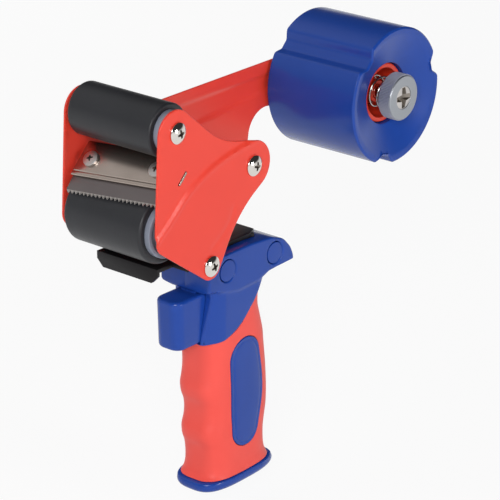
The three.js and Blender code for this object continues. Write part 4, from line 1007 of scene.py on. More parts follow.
def ring_tree() -> Repeater:
    """Copies of the input mesh turned evenly about the Y axis through the input's origin."""
    tree = Repeater("knurl_ring", {"Count": 40})
    points = tree.node("GeometryNodePoints", {"Count": tree.inputs["Count"]})
    number = tree.node("GeometryNodeInputIndex")
    share = tree.node("ShaderNodeMath", {0: number, 1: tree.inputs["Count"]}, operation="DIVIDE")
    angle = tree.node("ShaderNodeMath", {0: share, 1: 2 * math.pi}, operation="MULTIPLY")
    turn = tree.node("ShaderNodeCombineXYZ", {"Y": angle})
    rotation = tree.node("FunctionNodeEulerToRotation", {0: turn})
    return tree.close_copies(Points=points, Instance=tree.inputs["Geometry"], Rotation=rotation)


def coil_tree() -> Repeater:
    """A coil spring standing on Z: a helix with a round wire swept along it."""
    tree = Repeater("coil_spring", {"Turns": 5.0, "Radius": 0.009, "Height": 0.02, "Wire": 0.0009})
    sizes = {"Resolution": 40, "Rotations": tree.inputs["Turns"], "Height": tree.inputs["Height"]}
    radii = {f"{end} Radius": tree.inputs["Radius"] for end in ("Start", "End")}
    helix = tree.node("GeometryNodeCurveSpiral", {**sizes, **radii})
    wire = tree.node("GeometryNodeCurvePrimitiveCircle", {"Resolution": 14, "Radius": tree.inputs["Wire"]})
    swept = {"Curve": helix, "Profile Curve": wire, "Fill Caps": True}
    return tree.close(tree.node("GeometryNodeCurveToMesh", swept))


@dataclass(frozen=True)
class Coil:
    """A coil spring.

    Attributes:
        radius: Radius of the wire's centreline.
        wire: Wire diameter.
        turns: Number of turns.
        start: One end of its axis, on the wire's outside.
        end: The other end.
    """

    radius: float
    wire: float
    turns: float
    start: Triple
    end: Triple

    def build(self, tree: Repeater, name: str, node: str, pusher: str | None = None) -> bpy.types.Object:
        """Makes the spring in place of its CAD node.

        Args:
            tree: The tree that winds it.
            name: The piece's name.
            node: Its CAD node.
            pusher: Body that moves the spring's start, where one does.

        Returns:
            The piece.
        """
        start, end = np.array(self.start, float), np.array(self.end, float)
        length = float(np.linalg.norm(end - start))
        thing = new_object(name, bpy.data.meshes.new(name))
        tree.run(
            thing,
            {
                "Finish": SPRING_WIRE.material(),
                "Turns": self.turns,
                "Radius": self.radius * MM,
                "Height": (length - self.wire) * MM,
                "Wire": self.wire / 2 * MM,
            },
        )
        way = Vector((end - start) / length)
        turn = Vector((0, 0, 1)).rotation_difference(way).to_matrix().to_4x4()
        foot = to_metres(start) + np.array(way) * self.wire / 2 * MM
        thing.data.transform(Matrix.Translation(Vector(foot)) @ turn)
        tidy_mesh(thing.data)
        place_piece(thing, [node], SPRING_WIRE, rides=not pusher)
        if pusher:
            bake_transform(thing)
        return thing


# ---- Screws


@dataclass(frozen=True)
class PanHeadScrew:
    """A pan-head screw with a cross recess, head up along Z, seat at the origin.

    Attributes:
        head_radius: Radius of the head.
        head_height: Height of the head.
        shank_radius: Radius of the shank.
        length: Length of the shank.
        recess: Length of the cross, tip to tip.
        rim: Share of the head's height where its dome starts.
    """

    head_radius: float = 5.5
    head_height: float = 2.8
    shank_radius: float = 2.5
    length: float = 9.2
    recess: float = 5.4
    rim: float = 0.3

    def dome(self) -> list[Pair]:
        """Points of the head's dome, from its rim to near its crown."""
        start, top = self.rim * self.head_height, self.head_height
        rise = top - start
        radius = (self.head_radius**2 + rise**2) / (2 * rise)
        tilt = math.asin(self.head_radius / radius)
        turns = [tilt * (1 - k / 10) for k in range(1, 10)]
        return [(radius * math.sin(a), top - radius * (1 - math.cos(a))) for a in turns]

    def master(self) -> bpy.types.Object:
        """The one screw that the others copy."""
        r, h = self.head_radius, self.head_height
        section = fillet(
            [
                (0.0, -self.length), (self.shank_radius, -self.length, 0.5), (self.shank_radius, 0.0, 0.15),
                (r, 0.0, 0.25), (r, self.rim * h, 0.5),
                *self.dome(),
                (0.0, h),
            ],
            closed=False,
            step=8,
        )
        head = turned(section, sides=64, closed=False).moved(self.upright)
        thing = formed("screw_master", head, NICKEL)
        # The cross's cut faces take the darker recess finish, a painted shade in the recess.
        carve(thing, self.cross().moved(lambda p: p + GRIP_MIDDLE), raw=RECESS_SHADE)
        recess_shade_faces = [face.material_index > 0 for face in thing.data.polygons]
        thing.data.attributes.new("recess", "BOOLEAN", "FACE").data.foreach_set("value", recess_shade_faces)
        return thing

    @staticmethod
    def upright(points: Cloud) -> Cloud:
        """Turns the axis from Y to Z and puts the seat at the part's origin."""
        return np.stack([points[:, 0], -points[:, 2], points[:, 1]], 1) + GRIP_MIDDLE

    def cross(self) -> Form:
        """The tapered cross that cuts the recess."""
        rings = []
        depth = 0.75 * self.head_height
        for z, share in ((self.head_height - depth, 0.42), (self.head_height + 0.6, 1.08)):
            long, slim = self.recess / 2 * share, self.recess * 0.1 * (0.5 + 0.5 * share)
            corners = []
            for quarter in range(4):
                c, s = math.cos(quarter * math.pi / 2), math.sin(quarter * math.pi / 2)
                for x, y in ((long, -slim), (long, slim), (slim * 1.5, slim * 1.5)):
                    corners.append((x * c - y * s, x * s + y * c, z))
            rings.append(np.array(corners))
        return solid(rings)


@dataclass(frozen=True)
class ScrewPlace:
    """Where a screw sits: its seat, the way its head faces, and its turn in degrees."""

    seat: Triple
    outward: Triple
    turn: float = 0.0

    def facing(self) -> Triple:
        """The screw's turn as Euler angles."""
        tilt = Vector((0, 0, 1)).rotation_difference(Vector(self.outward)).to_matrix()
        spin = Matrix.Rotation(math.radians(self.turn), 3, "Z")
        return tuple((tilt @ spin).to_euler())


def screw_set(
    name: str,
    places: Sequence[ScrewPlace],
    nodes: Sequence[str],
    screw: PanHeadScrew,
    tree: Repeater,
    plate: Finish = NICKEL,
) -> bpy.types.Object:
    """Makes a set of equal screws as one piece in place of their CAD nodes.

    Args:
        name: The piece's name.
        places: Where the screws sit.
        nodes: Their CAD nodes.
        screw: The screw.
        tree: The tree that copies it.
        plate: The screws' plating.

    Returns:
        The piece.
    """
    master = screw.master()
    data = bpy.data.meshes.new(name)
    data.from_pydata(to_metres([p.seat for p in places]).tolist(), [], [])
    facing = data.attributes.new("facing", "FLOAT_VECTOR", "POINT")
    facing.data.foreach_set("vector", np.array([p.facing() for p in places]).ravel())
    thing = new_object(name, data)
    tree.run(thing, {"Master": master, "Finish": plate.material()})
    bpy.data.objects.remove(master)
    recess_shade_faces = np.zeros(len(thing.data.polygons), bool)
    thing.data.attributes["recess"].data.foreach_get("value", recess_shade_faces)
    # Faces of the cross recess get the darker finish: painted shade in the recess.
    dress(thing, plate, RECESS_SHADE)
    thing.data.polygons.foreach_set("material_index", recess_shade_faces.astype(np.int32))
    tidy_mesh(thing.data)
    return place_piece(thing, nodes)


# ---- Frame: two pressed plates, their screws and ties, and the bracket to the handle


@dataclass
class SideFrame:
    """The pressed steel frame.

    Attributes:
        inside: Distance of both plates from the middle plane.
        panel_rise: How far the near plate's lower panel stands out.
        panel_edge: Line along the panel's upper edge.
        panel_step: Where the panel starts to rise, past its edge, and how wide the step is.
        bead: Height of the bead along that edge.
        bead_place: Middle of the bead past the edge, and half its width.
        crease: Line of the shallow crease on the panel.
        crease_size: Its depth and half its width.
        top_lobe: Round end of the near plate; the other discs follow the two outlines.
        ties: Name, X and Z of the three ties.
        tie_seat: How far a tie stops short of the plates.
        screw_turns: Turn of each tie's near screw in degrees; the far one has the opposite.
        tab: X, Z, length and width of the slot for the blade holder's tab.
        rib: X, Z and half width of the arm's rib at both ends.
        rib_step: Height of the rib over the panel's rise, where it starts and how wide its step is.
        dimples: Round dimples on the far plate.
        dimple_size: Their height and radius.
    """

    inside: float = 30.8
    sheet: float = 1.2
    panel_rise: float = 0.9
    panel_edge: tuple = ((-24, -56), (-7, -42.6), (8.4, -30.2), (31.5, -20.9), (62, -16.5), (90, -14))
    panel_step: Pair = (-0.4, 2.4)
    bead: float = 0.45
    bead_place: Pair = (1.7, 2.3)
    crease: tuple = ((40.5, -50.0), (38.3, -55.8), (32.5, -61.5), (24.2, -67.0))
    crease_size: Pair = (0.3, 2.6)
    top_lobe: Disc = (-1.2, -0.2, 12.1)
    far_top_lobe: Disc = (-0.9, -0.8, 12.2)
    front_corner: Disc = (-7.8, -52.5, 8.5)
    bottom_lobe: Disc = (23.0, -75.9, 7.5)
    rear_waist: Disc = (88.6, -97.0, -60.0)
    rear_lobe: Disc = (55.7, -31.5, 13.0)
    top_waist: Disc = (55.5, 32.9, -50.0)
    gusset: Disc = (112.0, -62.0, 12.0)
    throat: Disc = (140.5, -50.0, -14.4)
    arm_lobe: Disc = (177.5, -25.9, 16.0)
    arm_waist: Disc = (33.5, 9.2, -20.3)
    ties: tuple = (("top", 0.0, 0.0), ("rear", 55.7, -31.5), ("bottom", 23.0, -75.9))
    tie_radius: float = 4.5
    tie_bore: float = 2.8
    tie_seat: float = 0.3
    screw_hole: float = 2.8
    screw_turns: Triple = (12.0, -8.0, 20.0)
    hub_hole: float = 4.3
    tab: tuple[float, float, float, float] = (3.7, -24.5, 8.2, 1.8)
    rib: tuple = ((74.0, -25.0, 7.5), (153.5, -21.4, 4.5))
    rib_step: Triple = (1.3, -0.4, 2.2)
    dimples: tuple = ((-3.0, -25.0), (-4.5, -33.0))
    dimple_size: Pair = (0.8, 3.6)

    def near_outer(self, flat: Loop) -> np.ndarray:
        """Distance of the near plate's outer face from the middle plane."""
        edge = curve_through(self.panel_edge)
        below = flat[:, 1] < np.interp(flat[:, 0], edge[:, 0], edge[:, 1])
        reach = distance(flat, edge) * np.where(below, 1.0, -1.0)
        start, width = self.panel_step
        rise = self.panel_rise * smooth((reach - start) / width)
        middle, half = self.bead_place
        rise += self.bead * (1 - smooth(np.abs(reach - middle) / half))
        depth, half = self.crease_size
        rise -= depth * (1 - smooth(distance(flat, np.array(self.crease)) / half))
        return self.inside + self.sheet + rise

    def far_outer(self, flat: Loop) -> np.ndarray:
        """Distance of the far plate's outer face from the middle plane."""
        (x0, z0, r0), (x1, z1, r1) = self.rib
        t = np.clip((flat[:, 0] - x0) / (x1 - x0), 0, 1)
        depth = r0 + (r1 - r0) * t - distance(flat, np.array([(x0, z0), (x1, z1)]))
        height, start, width = self.rib_step
        rise = height * self.panel_rise * smooth((depth - start) / width)
        height, radius = self.dimple_size
        for x, z in self.dimples:
            rise += height * (1 - smooth(np.hypot(flat[:, 0] - x, flat[:, 1] - z) / radius))
        return self.inside + self.sheet + rise

    def behind(self, outer: Callable[[Loop], np.ndarray]) -> Callable[[Loop], np.ndarray]:
        """The inner face of a plate with a given outer face."""
        return lambda flat: outer(flat) - self.sheet

    def tab_hole(self) -> Loop:
        """The slanted slot that a tab of the blade holder goes through."""
        x, z, length, width = self.tab
        a, b = length / 2 * SLANT, width / 2 * SLANT
        corners = ((-a + b, -a - b), (a + b, a - b), (a - b, a + b), (-a - b, -a + b))
        return np.array([(x + dx, z + dz) for dx, dz in corners])

    def build(self, tree: Repeater) -> None:
        """Makes the frame."""
        ties = [circle(x, z, self.screw_hole) for _, x, z in self.ties]
        hub_x, hub_z, _ = self.arm_lobe
        low = [self.front_corner, self.bottom_lobe]
        near = belt([self.top_lobe, *low, self.rear_waist, self.rear_lobe, self.top_waist])
        far = belt([self.far_top_lobe, *low, self.gusset, self.throat, self.arm_lobe, self.arm_waist])
        for name, outline, outer, side, holes in (
            ("near_plate", near, self.near_outer, -1, ties),
            ("far_plate", far, self.far_outer, 1, [*ties, circle(hub_x, hub_z, self.hub_hole)]),
        ):
            holes = [*holes, self.tab_hole()]
            inner = self.behind(outer)
            sheet = Sheet(outline, outer, inner, side, holes, 0.45, 0.25, 1.3)
            piece(name, sheet.form(), [name.replace("plate", "side_plate")])
        self.screws(tree)
        for key, x, z in self.ties:
            rise = 0.0 if key == "top" else self.panel_rise
            ends = -(self.inside + rise - self.tie_seat), self.inside - self.tie_seat
            section = rounded_box((self.tie_bore, self.tie_radius), ends, (0.2, 0.4))
            node = "top_roller_axle" if key == "top" else f"{key}_spacer"
            piece(f"{key}_tie", turned(section, (x, z), 64), [node])
        refined("handle_bracket", "chassis_bracket")

    def screws(self, tree: Repeater) -> None:
        """Makes the six plate screws."""
        places, nodes = [], []
        gap = 0.05
        for (key, x, z), turn in zip(self.ties, self.screw_turns):
            rise = 0.0 if key == "top" else self.panel_rise
            outside = self.inside + self.sheet
            places.append(ScrewPlace((x, -(outside + rise + gap), z), (0, -1, 0), turn))
            places.append(ScrewPlace((x, outside + gap, z), (0, 1, 0), -turn))
            nodes += [f"near_screw_{key}", f"far_screw_{key}"]
        screw_set("plate_screws", places, nodes, PanHeadScrew(), tree)


# ---- Rollers


@dataclass
class Roller:
    """A rubber-covered roller on a nylon core.

    Attributes:
        name: Prefix of its two CAD nodes.
        at: X and Z of its axis.
        radius: Outside radius of the rubber.
        core: Outside radius of the core.
        bore: Radius of the bore on the axle.
        ends: Y of the rubber's two ends.
        core_ends: Y of the core's two ends.
        edge: Radius of the rubber's edges.
        boss_near: Y of the near end of the boss.
        wall: Thickness of the core's tube.
        boss_wall: Thickness of its boss.
        web_depth: How far the web lies inside the core's ends.
    """

    name: str
    at: Pair
    radius: float
    core: float
    bore: float
    ends: Pair
    core_ends: Pair
    edge: float
    boss_near: float
    wall: float = 2.2
    boss_wall: float = 2.5
    web_depth: float = 5.0

    def build(self) -> None:
        """Makes the rubber and the core."""
        rubber = rounded_box((self.core + 0.05, self.radius), self.ends, (0.2, self.edge), step=6)
        piece(f"{self.name}_rubber", turned(rubber, self.at, 160), [f"{self.name}_sleeve"])
        n, f = self.core_ends
        boss, deep = self.bore + self.boss_wall, self.web_depth
        inside = self.core - self.wall
        core = fillet(
            [
                (self.bore, self.boss_near, 0.2), (boss, self.boss_near, 0.4), (boss, n + deep, 0.6),
                (inside, n + deep, 0.8), (inside, n, 0.4), (self.core, n, 0.5), (self.core, f, 0.5),
                (inside, f, 0.4), (inside, f - deep, 0.8), (boss, f - deep, 0.6), (boss, f, 0.4),
                (self.bore, f, 0.2),
            ]
        )
        piece(f"{self.name}_hub", turned(core, self.at, 128), [f"{self.name}_core"])


@dataclass
class RollerSet:
    """Both rollers, and the sprung carriage of the lower one."""

    top: Roller = field(
        default_factory=lambda: Roller(
            "top_roller", (0.0, 0.0), 13.73, 10.6, 4.85, (-26.1, 29.0), (-30.0, 30.0), 1.3, -30.0
        )
    )
    lower: Roller = field(
        default_factory=lambda: Roller(
            "lower_roller", (-0.9, -51.45), 18.05, 14.3, 3.35, (-23.4, 28.4), (-26.4, 29.3), 3.0, -29.3
        )
    )
    pin_radius: float = 3.0
    pin_half: float = 30.4
    press_spring: Coil = Coil(5.7, 1.2, 4.0, (23.0, 6.4, -75.9), (23.0, 12.2, -75.9))

    def build(self, coils: Repeater) -> None:
        """Makes the rollers and the carriage."""
        self.top.build()
        self.lower.build()
        pin = rod_section(self.pin_radius, -self.pin_half, self.pin_half, 0.5)
        piece("lower_roller_pin", turned(pin, self.lower.at, 48, closed=False), ["lower_roller_axle"])
        refined("swing_carriage", "roller_carriage")
        self.press_spring.build(coils, "press_spring", "carriage_spring")


# ---- Blade and its holder


@dataclass
class BladeUnit:
    """The slanting blade holder, the toothed blade behind it, and its two screws.

    The holder's own frame has X up the slope from the bend, Y along the bend, Z out of the front face.

    Attributes:
        plane: Distance of its front face from the common origin, along X less Z.
        skew: How far the bend is turned from Y.
        bend_middle: Place of the bend's middle down the slope.
        flange: Height of the lip that hangs from the top's back edge.
        screw_rise: Height of the screws above the bend.
        blade: Thickness of the blade.
        blade_height: How far the teeth reach below the bend.
        tongue: How far the blade reaches up behind the holder.
        bevel: Height of the ground bevel in front of a tooth's tip.
        tab: X, Z and length of the tabs through the plates.
    """

    sheet: float = 1.2
    plane: float = 18.8
    skew: float = math.radians(6.1)
    bend_middle: float = -27.4
    height: float = 19.2
    depth: float = 7.25
    flange: float = 9.0
    hem: float = 0.9
    half_width: float = 28.5
    screw_rise: float = 8.7
    screw_ys: Pair = (20.0, -21.5)
    screw_gap: float = 0.04
    screw_turns: Pair = (25.0, 5.0)
    blade: float = 0.8
    blade_height: float = 10.0
    blade_half: float = 28.75
    blade_gap: float = 0.3
    tongue: float = 12.0
    pitch: float = 2.5
    tooth: float = 1.6
    bevel: float = 0.5
    tab: Triple = (3.7, -24.5, 7.6)
    tab_end: float = 32.1

    def into_place(self, points: Cloud) -> Cloud:
        """From the holder's own frame to the common one."""
        p = np.asarray(points, float).reshape(-1, 3)
        c, s = math.cos(self.skew), math.sin(self.skew)
        x, y, z = p[:, 0] * c - p[:, 1] * s, p[:, 0] * s + p[:, 1] * c, p[:, 2]
        middle, half = self.bend_middle * SLANT, self.plane / 2
        return np.stack([(x - z) * SLANT + half + middle, y, (x + z) * SLANT - half + middle], 1)

    def spot(self, x: float, y: float, z: float) -> np.ndarray:
        """One point of the holder's own frame in the common one."""
        return self.into_place((x, y, z))[0]

    def section(self) -> Loop:
        """Section of the holder, in X and Z of its own frame."""
        t, top, back, r = self.sheet, self.height, -self.depth, self.hem
        low = top - self.flange
        return fillet(
            [
                (-r, 0.0, r * 0.98), (0.9, 0.0, 0.3), (1.5, -0.42, 0.25), (2.1, 0.0, 0.3), (top, 0.0, 1.5),
                (top, back, 1.5), (low, back, 0.3), (low, back + t, 0.3), (top - t, back + t, 0.4),
                (top - t, -t, 0.4), (2.2, -t, 0.3), (1.4, -2 * r, 0.4), (-r, -2 * r, r * 0.98),
            ]
        )[::-1]

    def holder(self) -> None:
        """Makes the holder, cut off square at both plates, with its tabs."""
        section = self.section()
        c, s = math.cos(self.skew), math.sin(self.skew)
        cuts = [(self.half_width * t - section[:, 0] * s) / c for t in np.linspace(-1, 1, 25)]
        form = solid([self.into_place(lifted(section, y)) for y in cuts])
        x, z, length = self.tab
        half, thick = length / 2, self.sheet / 2
        across, up = rounded_box((-half, half), (-thick, thick), (0.2, 0.2)).T
        bar = np.stack([x + (across - up) * SLANT, z + (across + up) * SLANT], 1)
        root = self.half_width - self.sheet
        for y0, y1 in ((root, self.tab_end), (-self.tab_end, -root)):
            form.include(slab(bar, y0, y1, 0.2))
        piece("blade_carrier", form, ["blade_holder"])

    def strip(self) -> Form:
        """The blade without its teeth: flat, with a tongue behind the holder."""
        front = -2 * self.hem - self.blade_gap
        root = self.tooth - self.blade_height
        section = rounded_box((self.tongue, root), (front, front - self.blade), (0.1, 0.02))
        places = np.linspace(-self.blade_half, self.blade_half, 25)
        return solid([self.into_place(lifted(section, y)) for y in places])

    def tooth_form(self) -> Form:
        """One tooth with a ground bevel on its front, at the near end of the row."""
        front = -2 * self.hem - self.blade_gap
        root, tip, half = self.tooth - self.blade_height, -self.blade_height, self.pitch / 2
        y = half - self.blade_half
        base = half * 0.98
        faces = []
        for z, end, tip_half in ((front, tip + self.bevel, 0.12), (front - self.blade, tip, 0.05)):
            corners = ((root, -base), (root, base), (end, tip_half), (end, -tip_half))
            faces.append(self.into_place([(x, y + along, z) for x, along in corners]))
        return solid(faces)

    def teeth(self, rows: Repeater) -> bpy.types.Object:
        """The row of teeth, made along Y at the part's origin and then put in place."""
        thing = formed("blade_teeth", self.tooth_form())
        start = self.spot(0, 0, 0)
        way = Vector(self.spot(0, 1, 0) - start).normalized()
        turn = Vector((0, 1, 0)).rotation_difference(way).to_matrix().to_4x4()
        there = Matrix.Translation(Vector(to_metres(start))) @ turn
        thing.data.transform(there.inverted())
        count = round(2 * self.blade_half / self.pitch)
        rows.run(thing, {"Finish": GROUND_STEEL.material(), "Count": count, "Pitch": self.pitch * MM})
        thing.data.transform(there)
        return thing

    def build(self, tree: Repeater, rows: Repeater) -> None:
        """Makes the holder, the blade and the screws."""
        self.holder()
        blade = formed("toothed_blade", self.strip(), BLUED_STEEL)
        join_into(blade, self.teeth(rows))
        place_piece(blade, ["cutting_blade"])
        outward = tuple(self.spot(0, 0, 1) - self.spot(0, 0, 0))
        seats = [tuple(self.spot(self.screw_rise, y, self.screw_gap)) for y in self.screw_ys]
        places = [ScrewPlace(seat, outward, turn) for seat, turn in zip(seats, self.screw_turns)]
        small = PanHeadScrew(4.2, 1.95, 1.6, 3.6, 4.2, 0.75)
        nodes = ["blade_screw_far", "blade_screw_near"]
        screw_set("blade_screws", places, nodes, small, tree, ZINC_PLATE)


# ---- Handle


@dataclass
class PistolGrip:
    """The blue two-part handle with its red sleeve, end cap, trigger and bolt plugs."""

    block_half: float = 16.8
    seam_gap: float = 0.02
    block: tuple = (
        (39.5, -102.4, 1.6), (87.5, -103.2, 5), (107.8, -102.6, 1.6), (107.4, -99.0, 6), (105.2, -94.0, 10),
        (99.6, -88.0, 10), (90.0, -84.4, 14), (74.0, -83.3, 14), (39.5, -83.3, 1.6),
    )
    sleeve_top: tuple = (
        (30.0, -132.4), (46.6, -133.0), (57.2, -131.2), (67.1, -126.4), (75.5, -118.0), (80.8, -110.8),
        (85.0, -104.2), (120.0, -104.2),
    )
    seam_ends: Pair = (42.0, 84.6)  # X between which the shells follow the sleeve's top
    seam_lift: float = 0.12
    neck_front: tuple[Disc, ...] = ((45.4, -103.6, 0.8), (46.0, -107.0, 1.0), (41.0, -132.4, 1.2))
    neck_rear: Disc = (86.6, -103.5, 0.6)
    cap_line: tuple[Pair, Pair] = ((44.0, -213.2), (96.0, -212.4))
    cap_height: float = 6.1
    fronts: tuple = (
        (-240.0, 41.4), (-216.0, 41.6), (-213.0, 43.5), (-211.0, 46.0), (-208.0, 47.2), (-204.0, 47.6),
        (-200.0, 47.5), (-195.0, 46.7), (-190.0, 44.8), (-185.0, 44.4), (-180.0, 46.1), (-175.0, 46.7),
        (-170.0, 46.0), (-165.0, 44.0), (-160.0, 43.4), (-156.0, 44.5), (-150.0, 45.6), (-142.0, 45.6),
        (-132.0, 45.2), (-100.0, 45.2),
    )
    rears: tuple = (
        (-240.0, 99.2), (-216.0, 99.0), (-213.0, 96.8), (-211.0, 95.1), (-208.0, 93.5), (-204.0, 92.5),
        (-200.0, 92.2), (-195.0, 92.3), (-190.0, 93.2), (-185.0, 94.3), (-180.0, 95.0), (-170.0, 95.2),
        (-160.0, 94.8), (-152.0, 93.8), (-144.0, 92.8), (-137.0, 92.0), (-128.0, 89.5), (-120.6, 87.6),
        (-113.0, 88.4), (-107.4, 91.5), (-103.6, 96.0), (-100.0, 98.0),
    )
    half_width: float = 15.0
    foot_flare: Triple = (0.8, -205.0, 9.0)  # how much wider, below which height, over which height
    fullness: float = 3.1  # exponent of the grip's oval section
    section_points: int = 144
    corner_crowding: float = 0.14  # how far points move towards the section's corners
    sleeve_wall: float = 2.6
    sleeve_lip: float = 0.45
    sleeve_gap: float = 0.4
    bolts: tuple = (("front", 54.3, -92.5), ("rear", 91.9, -93.8))
    plug: float = 5.8
    plug_depth: float = 1.6
    plug_gap: float = 0.28
    plug_sink: float = 0.02
    inlay: tuple[Disc, ...] = ((70.3, -147.0, 11.6), (70.5, -187.3, 10.6), (35.0, -166.0, 50.0))
    inlay_gap: float = 0.4
    inlay_rise: float = 0.3
    inlay_seat: float = 12.5
    rim_line: Triple = (1.9, 0.6, 0.45)  # distance from the rim, half width, depth
    cap_edge: float = 3.4
    cap_flare: float = 0.65
    cap_foot: float = -216.0  # below this height the cap keeps its width
    neck_widths: tuple = (
        (38.0, 8.8), (41.0, 9.9), (50.5, 15.0), (53.5, 16.0), (80.0, 16.0), (87.0, 15.0), (97.0, 12.0)
    )
    neck_taper: Triple = (0.5, -112.0, 14.0)  # how much narrower, below which height, over which height
    ledge_step: Pair = (-0.2, 2.0)  # where the block's side starts over the ledge, and its height
    ledge: tuple = ((39.5, -102.4), (63.4, -107.2), (80.0, -106.3), (87.5, -104.0), (107.8, -103.0))
    hollow: tuple = (  # outlines and half widths of what the moving pieces and the bracket need
        (box_outline(36.0, 49.0, -132.2, -104.8), 8.8),
        (box_outline(47.7, 62.0, -132.0, -104.8), 10.4),
        (
            fillet(
                [
                    (41.3, -100.4), (50, -100.4), (50, -112), (80, -112), (84, -101), (98, -101),
                    (98, -92), (92, -87), (41.3, -87),
                ]
            ),
            12.2,
        ),
        (box_outline(41.3, 49.2, -107.5, -98.0), 5.6),
        (box_outline(43.5, 52.0, -90.0, -80.0), 5.6),
        (box_outline(50.0, 84.6, -88.0, -80.0), 9.5),
    )
    trigger_front: float = 23.6
    trigger_half: float = 8.5
    trigger_top: float = -104.2
    trigger_bottom: float = -131.6
    trigger_back: float = 49.0
    trigger_corner: float = 6.2
    finger_dent: float = 0.9
    foot_lean: float = 1.0
    pad_fade: Pair = (36.0, 12.0)  # X behind which the pad keeps its plan, and the way it takes
    shoulder: tuple[float, ...] = (48.0, 52.0, -130.6, -105.6)
    shoulder_half: float = 10.1
    lug: tuple[float, ...] = (41.7, 44.1, -109.4, -93.5)
    lug_half: float = 5.0
    spring_seat: Triple = (52.0, 0.0, -119.0)
    return_spring: Coil = Coil(3.6, 1.0, 6.0, (40.3, 0.0, -119.0), (60.2, 0.0, -119.0))

    def front(self, z: np.ndarray) -> np.ndarray:
        """X of the grip's front at a height."""
        return table_of(self.fronts)(z)

    def rear(self, z: np.ndarray) -> np.ndarray:
        """X of the grip's back at a height."""
        return table_of(self.rears)(z)

    def width(self, z: np.ndarray) -> np.ndarray:
        """Half the grip's width at a height, with a flare towards the cap."""
        more, top, height = self.foot_flare
        return self.half_width + more * smooth((top - z) / height)

    def side_face(self, flat: Loop) -> np.ndarray:
        """Distance of the sleeve's side from the middle plane."""
        front, rear = self.front(flat[:, 1]), self.rear(flat[:, 1])
        share = np.abs(flat[:, 0] - (front + rear) / 2) / ((rear - front) / 2)
        return self.width(flat[:, 1]) * np.maximum(1 - share**self.fullness, 0) ** (1 / self.fullness)

    def column_points(self, angle: np.ndarray, z: np.ndarray, grow: float) -> Cloud:
        """Points on the grip's oval section, each at its own height.

        Args:
            angle: Place round the section.
            z: Height of each point.
            grow: How far the section is grown outwards.

        Returns:
            The points.
        """
        front, rear, width = self.front(z), self.rear(z), self.width(z)
        power = 2 / self.fullness
        c, s = np.cos(angle), np.sin(angle)
        x = (front + rear) / 2 + ((rear - front) / 2 + grow) * np.sign(c) * np.abs(c) ** power
        y = (width + grow) * np.sign(s) * np.abs(s) ** power
        return np.stack([x, y, z], 1)

    def height_on(self, angle: np.ndarray, line: Callable, grow: float) -> np.ndarray:
        """Height at which each column of the grip meets a line given as height over X."""
        z = np.full(len(angle), line(np.array([70.0]))[0])
        for _ in range(12):
            z = 0.5 * z + 0.5 * line(self.column_points(angle, z, grow)[:, 0])
        return z

    def top_line(self, x: np.ndarray) -> np.ndarray:
        """Height of the line where the sleeve starts."""
        curve = curve_through(self.sleeve_top)
        return np.interp(x, curve[:, 0], curve[:, 1])

    def bottom_line(self, x: np.ndarray) -> np.ndarray:
        """Height of the line where the end cap starts."""
        (x0, z0), (x1, z1) = self.cap_line
        return z0 + (x - x0) * (z1 - z0) / (x1 - x0)

    def angles(self) -> np.ndarray:
        """Places round the section, closer together at its corners."""
        u = round_angles(self.section_points)
        return u - self.corner_crowding * np.sin(4 * u)

    def sleeve(self) -> None:
        """Makes the red sleeve with its two windows for the inlays."""
        angle = self.angles()
        lip, gap = self.sleeve_lip, self.sleeve_gap

        def rows(grow: float, drop: float, shares: Sequence[float]) -> list[Cloud]:
            """Rings between the sleeve's top, lowered by the drop, and its bottom, raised alike."""
            high = self.height_on(angle, self.top_line, grow) - drop
            low = self.height_on(angle, self.bottom_line, grow) + 0.3 + 0.5 * (drop - gap)
            return [self.column_points(angle, high + (low - high) * t, grow) for t in shares]

        rings: list[Cloud] = []
        for grow, drop, shares in (
            (-lip, gap, (0.0,)), (-lip * 0.3, 0.5, (0.0,)), (0.0, 0.85, np.linspace(0, 1, 110)),
            (-lip * 0.3, 0.5, (1.0,)), (-lip, gap, (1.0,)), (-self.sleeve_wall, gap, np.linspace(1, 0, 24)),
        ):
            rings += rows(grow, drop, shares)
        thing = formed("grip_sleeve_red", ring_form(rings))
        window = inset(self.inlay_outline(), -self.inlay_gap)
        carve(thing, slab(window, 10.0, 20.0, 0.0), slab(window, -20.0, -10.0, 0.0))
        place_piece(thing, ["grip_sleeve"])

    def inlay_outline(self) -> Loop:
        """The inlay's outline, an oval that bulges to the back."""
        return belt(self.inlay, step=4)

    def inlay_face(self, flat: Loop) -> np.ndarray:
        """Distance of an inlay's face from the middle plane: crowned, with a fine rim line."""
        place, half, depth = self.rim_line
        rim = distance(flat, self.inlay_outline(), closed=True)
        groove = depth * (1 - smooth(np.abs(rim - place) / half))
        return self.side_face(flat) + self.inlay_rise - groove

    def inlays(self) -> None:
        """Makes the two blue inlays, left bare."""
        for name, side in SIDES:
            inner = level(self.inlay_seat)
            sheet = Sheet(self.inlay_outline(), self.inlay_face, inner, side, [], 0.35, 0.1, 0.8)
            piece(f"inlay_{name}", sheet.form(), [f"grip_inlay_{name}"])

    def cap(self) -> None:
        """Makes the end cap, a little wider than the sleeve, with a rounded lower edge."""
        angle = self.angles()
        wide, radius = self.cap_flare, self.cap_edge
        start = radius - self.cap_height
        steps = [(-3.0, -0.1), (-0.3, -0.1), (0.3, -0.25), (0.6, -0.7), (wide, start)]
        for a in np.linspace(0, math.pi / 2, 8)[1:]:
            steps.append((wide - radius * (1 - math.cos(a)), start - radius * math.sin(a)))
        rings = []
        for grow, down in steps:
            z = self.height_on(angle, self.bottom_line, grow) + down
            points = self.column_points(angle, np.maximum(z, self.cap_foot), grow)
            points[:, 2] = z
            rings.append(points)
        piece("grip_end_cap", solid(rings), ["end_cap"])

    def neck_half(self, flat: Loop) -> np.ndarray:
        """Half the handle's width: the block above, the neck below, and a soft ledge between."""
        x, z = flat[:, 0], flat[:, 1]
        less, top, height = self.neck_taper
        neck = np.interp(x, *zip(*self.neck_widths)) - less * smooth((top - z) / height)
        start, height = self.ledge_step
        block = smooth((z - np.interp(x, *zip(*self.ledge)) - start) / height)
        return neck + (self.block_half - neck) * block

